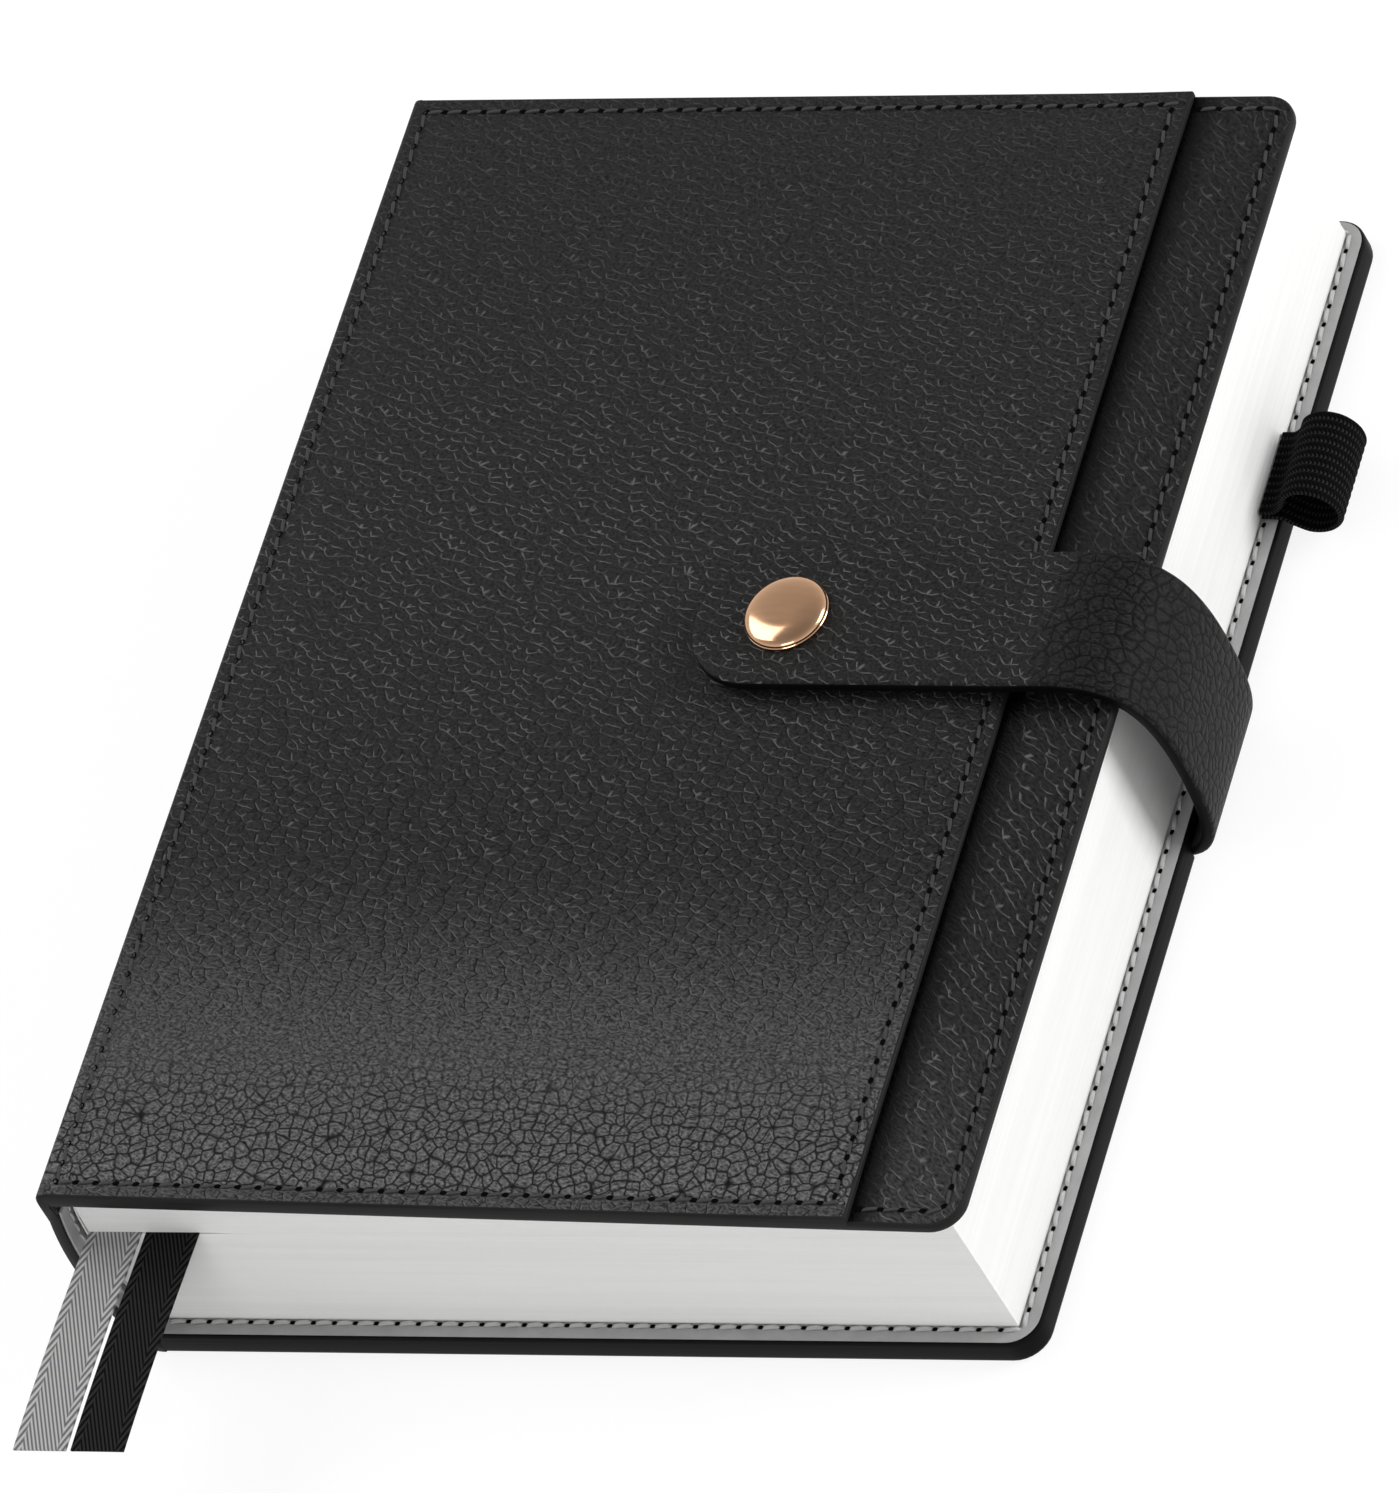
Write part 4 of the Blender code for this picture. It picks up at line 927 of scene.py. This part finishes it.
def band_edge(u0, u1, inset, tip):
    """Outline of a stretch of the strap, pulled in by inset, with a round end where it has its tip."""
    half = STRAP_WIDTH / 2 - inset
    if not tip:
        return [(u0, -half), (u1, -half), (u1, half), (u0, half)]
    points = [(u0, -half)]
    for a in spread(-90, 90, 37):
        turn = radians(a)
        bulge = abs(sin(turn)) ** 0.94 * copysign(1, turn)
        points.append((u1 - TAB_ROUND + (TAB_ROUND - inset) * cos(turn), half * bulge))
    return points + [(u0, half)]


BAND_LEVELS = [(3.0, 0.0), (0.5, 0.0), (0.14, 0.16), (0.0, 0.5)]
for inset, drop in ((0.0, 0.75), (0.1, 0.36), (0.32, 0.12), (0.7, 0.02), (1.3, 0.0), (3.0, 0.0)):
    BAND_LEVELS.append((inset, STRAP_THICK - drop))
BAND_ROWS, FACE_TURN = (-8.0, -4.0, 0.0, 4.0, 8.0), 0.55


def strap_piece(name, u0, u1, tip, bodies, hinge, *nodes):
    """A stretch of the strap, cut into short steps while flat and then laid along its path."""
    work = bmesh.new()
    for inset, height in BAND_LEVELS:
        spots = [work.verts.new((u, v, height)) for u, v in band_edge(u0, u1, inset, tip)]
    work.verts.ensure_lookup_table()
    for face in rings_to_faces(len(BAND_LEVELS), len(spots)):
        work.faces.new([work.verts[k] for k in face])
    cuts = [((0, v, 0), (0, 1, 0)) for v in BAND_ROWS]
    u = u0
    while u < u1 - TIP_SPARE:
        u += FINE_STEP if u < SPLIT + FINE_REACH else COARSE_STEP
        cuts.append(((u, 0, 0), (1, 0, 0)))
    for spot, normal in cuts:
        everything = work.verts[:] + work.edges[:] + work.faces[:]
        bmesh.ops.bisect_plane(work, geom=everything, dist=1e-5, plane_co=spot, plane_no=normal)
    work.verts.index_update()
    bmesh.ops.recalc_face_normals(work, faces=work.faces[:])
    faces = [[v.index for v in f.verts] for f in work.faces]
    turns = [f.normal.z for f in work.faces]
    marks = [0 if turn > FACE_TURN else 2 if turn < -FACE_TURN else 1 for turn in turns]
    verts, grain = [], []
    for spot in work.verts:
        u, v, height = spot.co
        point, out, middle = on_path(u)
        laid = point + out * height
        verts.append((laid.x, middle + v, laid.y))
        grain.append((v, u, height))
    work.free()
    obj = make(name, verts, faces, [STRAP_LEATHER, SHADED_EDGE, STRAP_LINING], grain, marks)
    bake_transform(obj)
    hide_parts(*nodes)


bodies = ("back_cover", "strap_side")
strap_piece("strap_root_band", 0.0, SPLIT, False, bodies, ROOT_ZONE, "strap_anchor")
bodies = ("strap_side", "strap_tab")
nodes = ("strap_side_leather", "strap_side_lining", "strap_tab_leather", "strap_tab_lining")
strap_piece("strap_flap_band", SPLIT, STRAP_LENGTH, True, bodies, FLAP_ZONE, *nodes)

# Snap: flat-domed cap with a rolled rim and a ringed socket on the tab, stud with a hollow head on the pocket
cap = [(0.0, CAP_TOP)]
for turn in spread(86, 0, 30):
    a = radians(turn)
    rise = (CAP_TOP - CAP_SHOULDER) * sin(a) ** 0.85
    cap.append(((CAP_RADIUS - 0.1) * cos(a) ** 0.65, CAP_SHOULDER + rise))
cap += [(CAP_RADIUS, CAP_SHOULDER - 0.12), (CAP_RADIUS, CAP_FOOT + 0.25)]
cap += [(CAP_RADIUS - 0.08, CAP_FOOT + 0.08), (CAP_RADIUS - 0.3, CAP_FOOT), (0.0, CAP_FOOT)]
wear(lathe("snap_cap_dome", cap, SNAP, FRONT, ROSE_GOLD), "strap_tab", "rose_gold", "snap_cap")
socket = [(0.0, 3.6), (4.8, 3.6), (4.8, 2.8), (4.7, 2.56), (4.48, 2.44), (4.2, 2.4), (3.9, 2.44), (3.7, 2.6)]
socket += [(3.5, 2.6), (3.3, 2.44), (3.0, 2.4), (2.7, 2.43), (2.5, 2.54), (2.4, 2.75), (2.4, 3.4), (0.0, 3.4)]
wear(lathe("snap_socket_ring", socket, SNAP, FRONT, NICKEL), "strap_tab", "steel", "snap_socket")
stud = [(0.0, 2.6), (0.75, 2.62), (1.0, 2.8), (1.3, 2.9), (1.6, 2.92), (1.88, 2.85), (2.06, 2.72)]
stud += [(2.1, 2.56), (2.0, 2.4), (1.84, 2.27), (1.82, 2.16), (1.95, 2.04), (2.3, 1.98), (3.5, 1.9)]
stud += [(4.0, 1.92), (4.3, 2.04), (4.48, 2.04), (4.58, 1.94), (4.6, 1.8), (4.58, 1.6), (4.5, 1.45)]
stud.append((0.0, 1.45))
wear(lathe("snap_stud_turned", stud, SNAP, FRONT, NICKEL), "front_cover", "steel", "snap_stud")

# Solids that show as they are
PLAIN = {"back_endpaper": PAPER, "front_endpaper": PAPER, "block_backing": PAPER, "stud_rivet": NICKEL}
for node, look in PLAIN.items():
    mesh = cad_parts[node].data
    mesh.materials.clear()
    mesh.materials.append(look)


# Stage: white floor that keeps the shadow, soft lamps and a pale surround
def seen_rays(add):
    """One for rays that see the background directly, in a mirror or through glass."""
    rays = add("LightPath").node.outputs
    seen = add("Math", {0: rays["Is Camera Ray"], 1: rays["Is Glossy Ray"]}, **LARGER)
    return add("Math", {0: seen, 1: rays["Is Transmission Ray"]}, **LARGER)


FLOOR_GLOW, FLOOR_HALF, FLOOR_DROP = 0.86, 4000.0, -0.05
mat = bpy.data.materials.new("studio_floor_matt_white")
mat.use_nodes = True
add = partial(add_node, mat.node_tree)
glow = add("Emission", {"Color": rgb("#ffffff"), "Strength": FLOOR_GLOW})
shade = add("BsdfDiffuse", {"Color": (0.2, 0.2, 0.2, 1)})
bright = add("AddShader", {0: glow, 1: shade})
plain = add("BsdfDiffuse", {"Color": (0.75, 0.75, 0.75, 1)})
mixed = add("MixShader", {0: seen_rays(add), 1: plain, 2: bright})
fill(mat.node_tree.nodes["Material Output"], {"Surface": mixed})
corners = [(x * FLOOR_HALF, y * FLOOR_HALF, FLOOR_DROP) for x, y in ((-1, -1), (1, -1), (1, 1), (-1, 1))]
make("floor", corners, [[0, 1, 2, 3]], [mat], corners)

world = bpy.data.worlds.new("surround")
bpy.context.scene.world = world
world.use_nodes = True
add = partial(add_node, world.node_tree)
SKY_LOW, SKY_HIGH, SKY_FILL = 1.0, 0.3, 0.3
height = add("SeparateXYZ", {"Vector": add("TexCoord", out="Generated")}, out=2)
studio = add("MapRange", span(height, start=SKY_LOW, end=SKY_HIGH))
strength = add("Mix", {0: seen_rays(add), 2: SKY_FILL, 3: studio})
fill(world.node_tree.nodes["Background"], {"Color": rgb("#ffffff"), "Strength": strength})

# Soft square lamps turned to the middle of the object: place and size in metres, power in watts
LAMPS = {
    "key_left": ((-1.0, 0.17, 1.2), 1.0, 10.5),
    "fill_right": ((1.3, 0.5, 0.6), 0.8, 15.2),
    "fill_tail": ((0.2, -1.6, 0.7), 0.8, 7.4),
}
LAMP_AIM = Vector((0, 0, 0.03))
for name, (place, size, power) in LAMPS.items():
    light = bpy.data.lights.new(name, "AREA")
    light.shape, light.size, light.energy = "SQUARE", size, power
    obj = bpy.data.objects.new(name, light)
    obj.location = place
    obj.rotation_mode = "QUATERNION"
    obj.rotation_quaternion = (LAMP_AIM - Vector(place)).to_track_quat("-Z", "Y")
    bpy.context.scene.collection.objects.link(obj)
bpy.context.scene.view_settings.view_transform = "Standard"
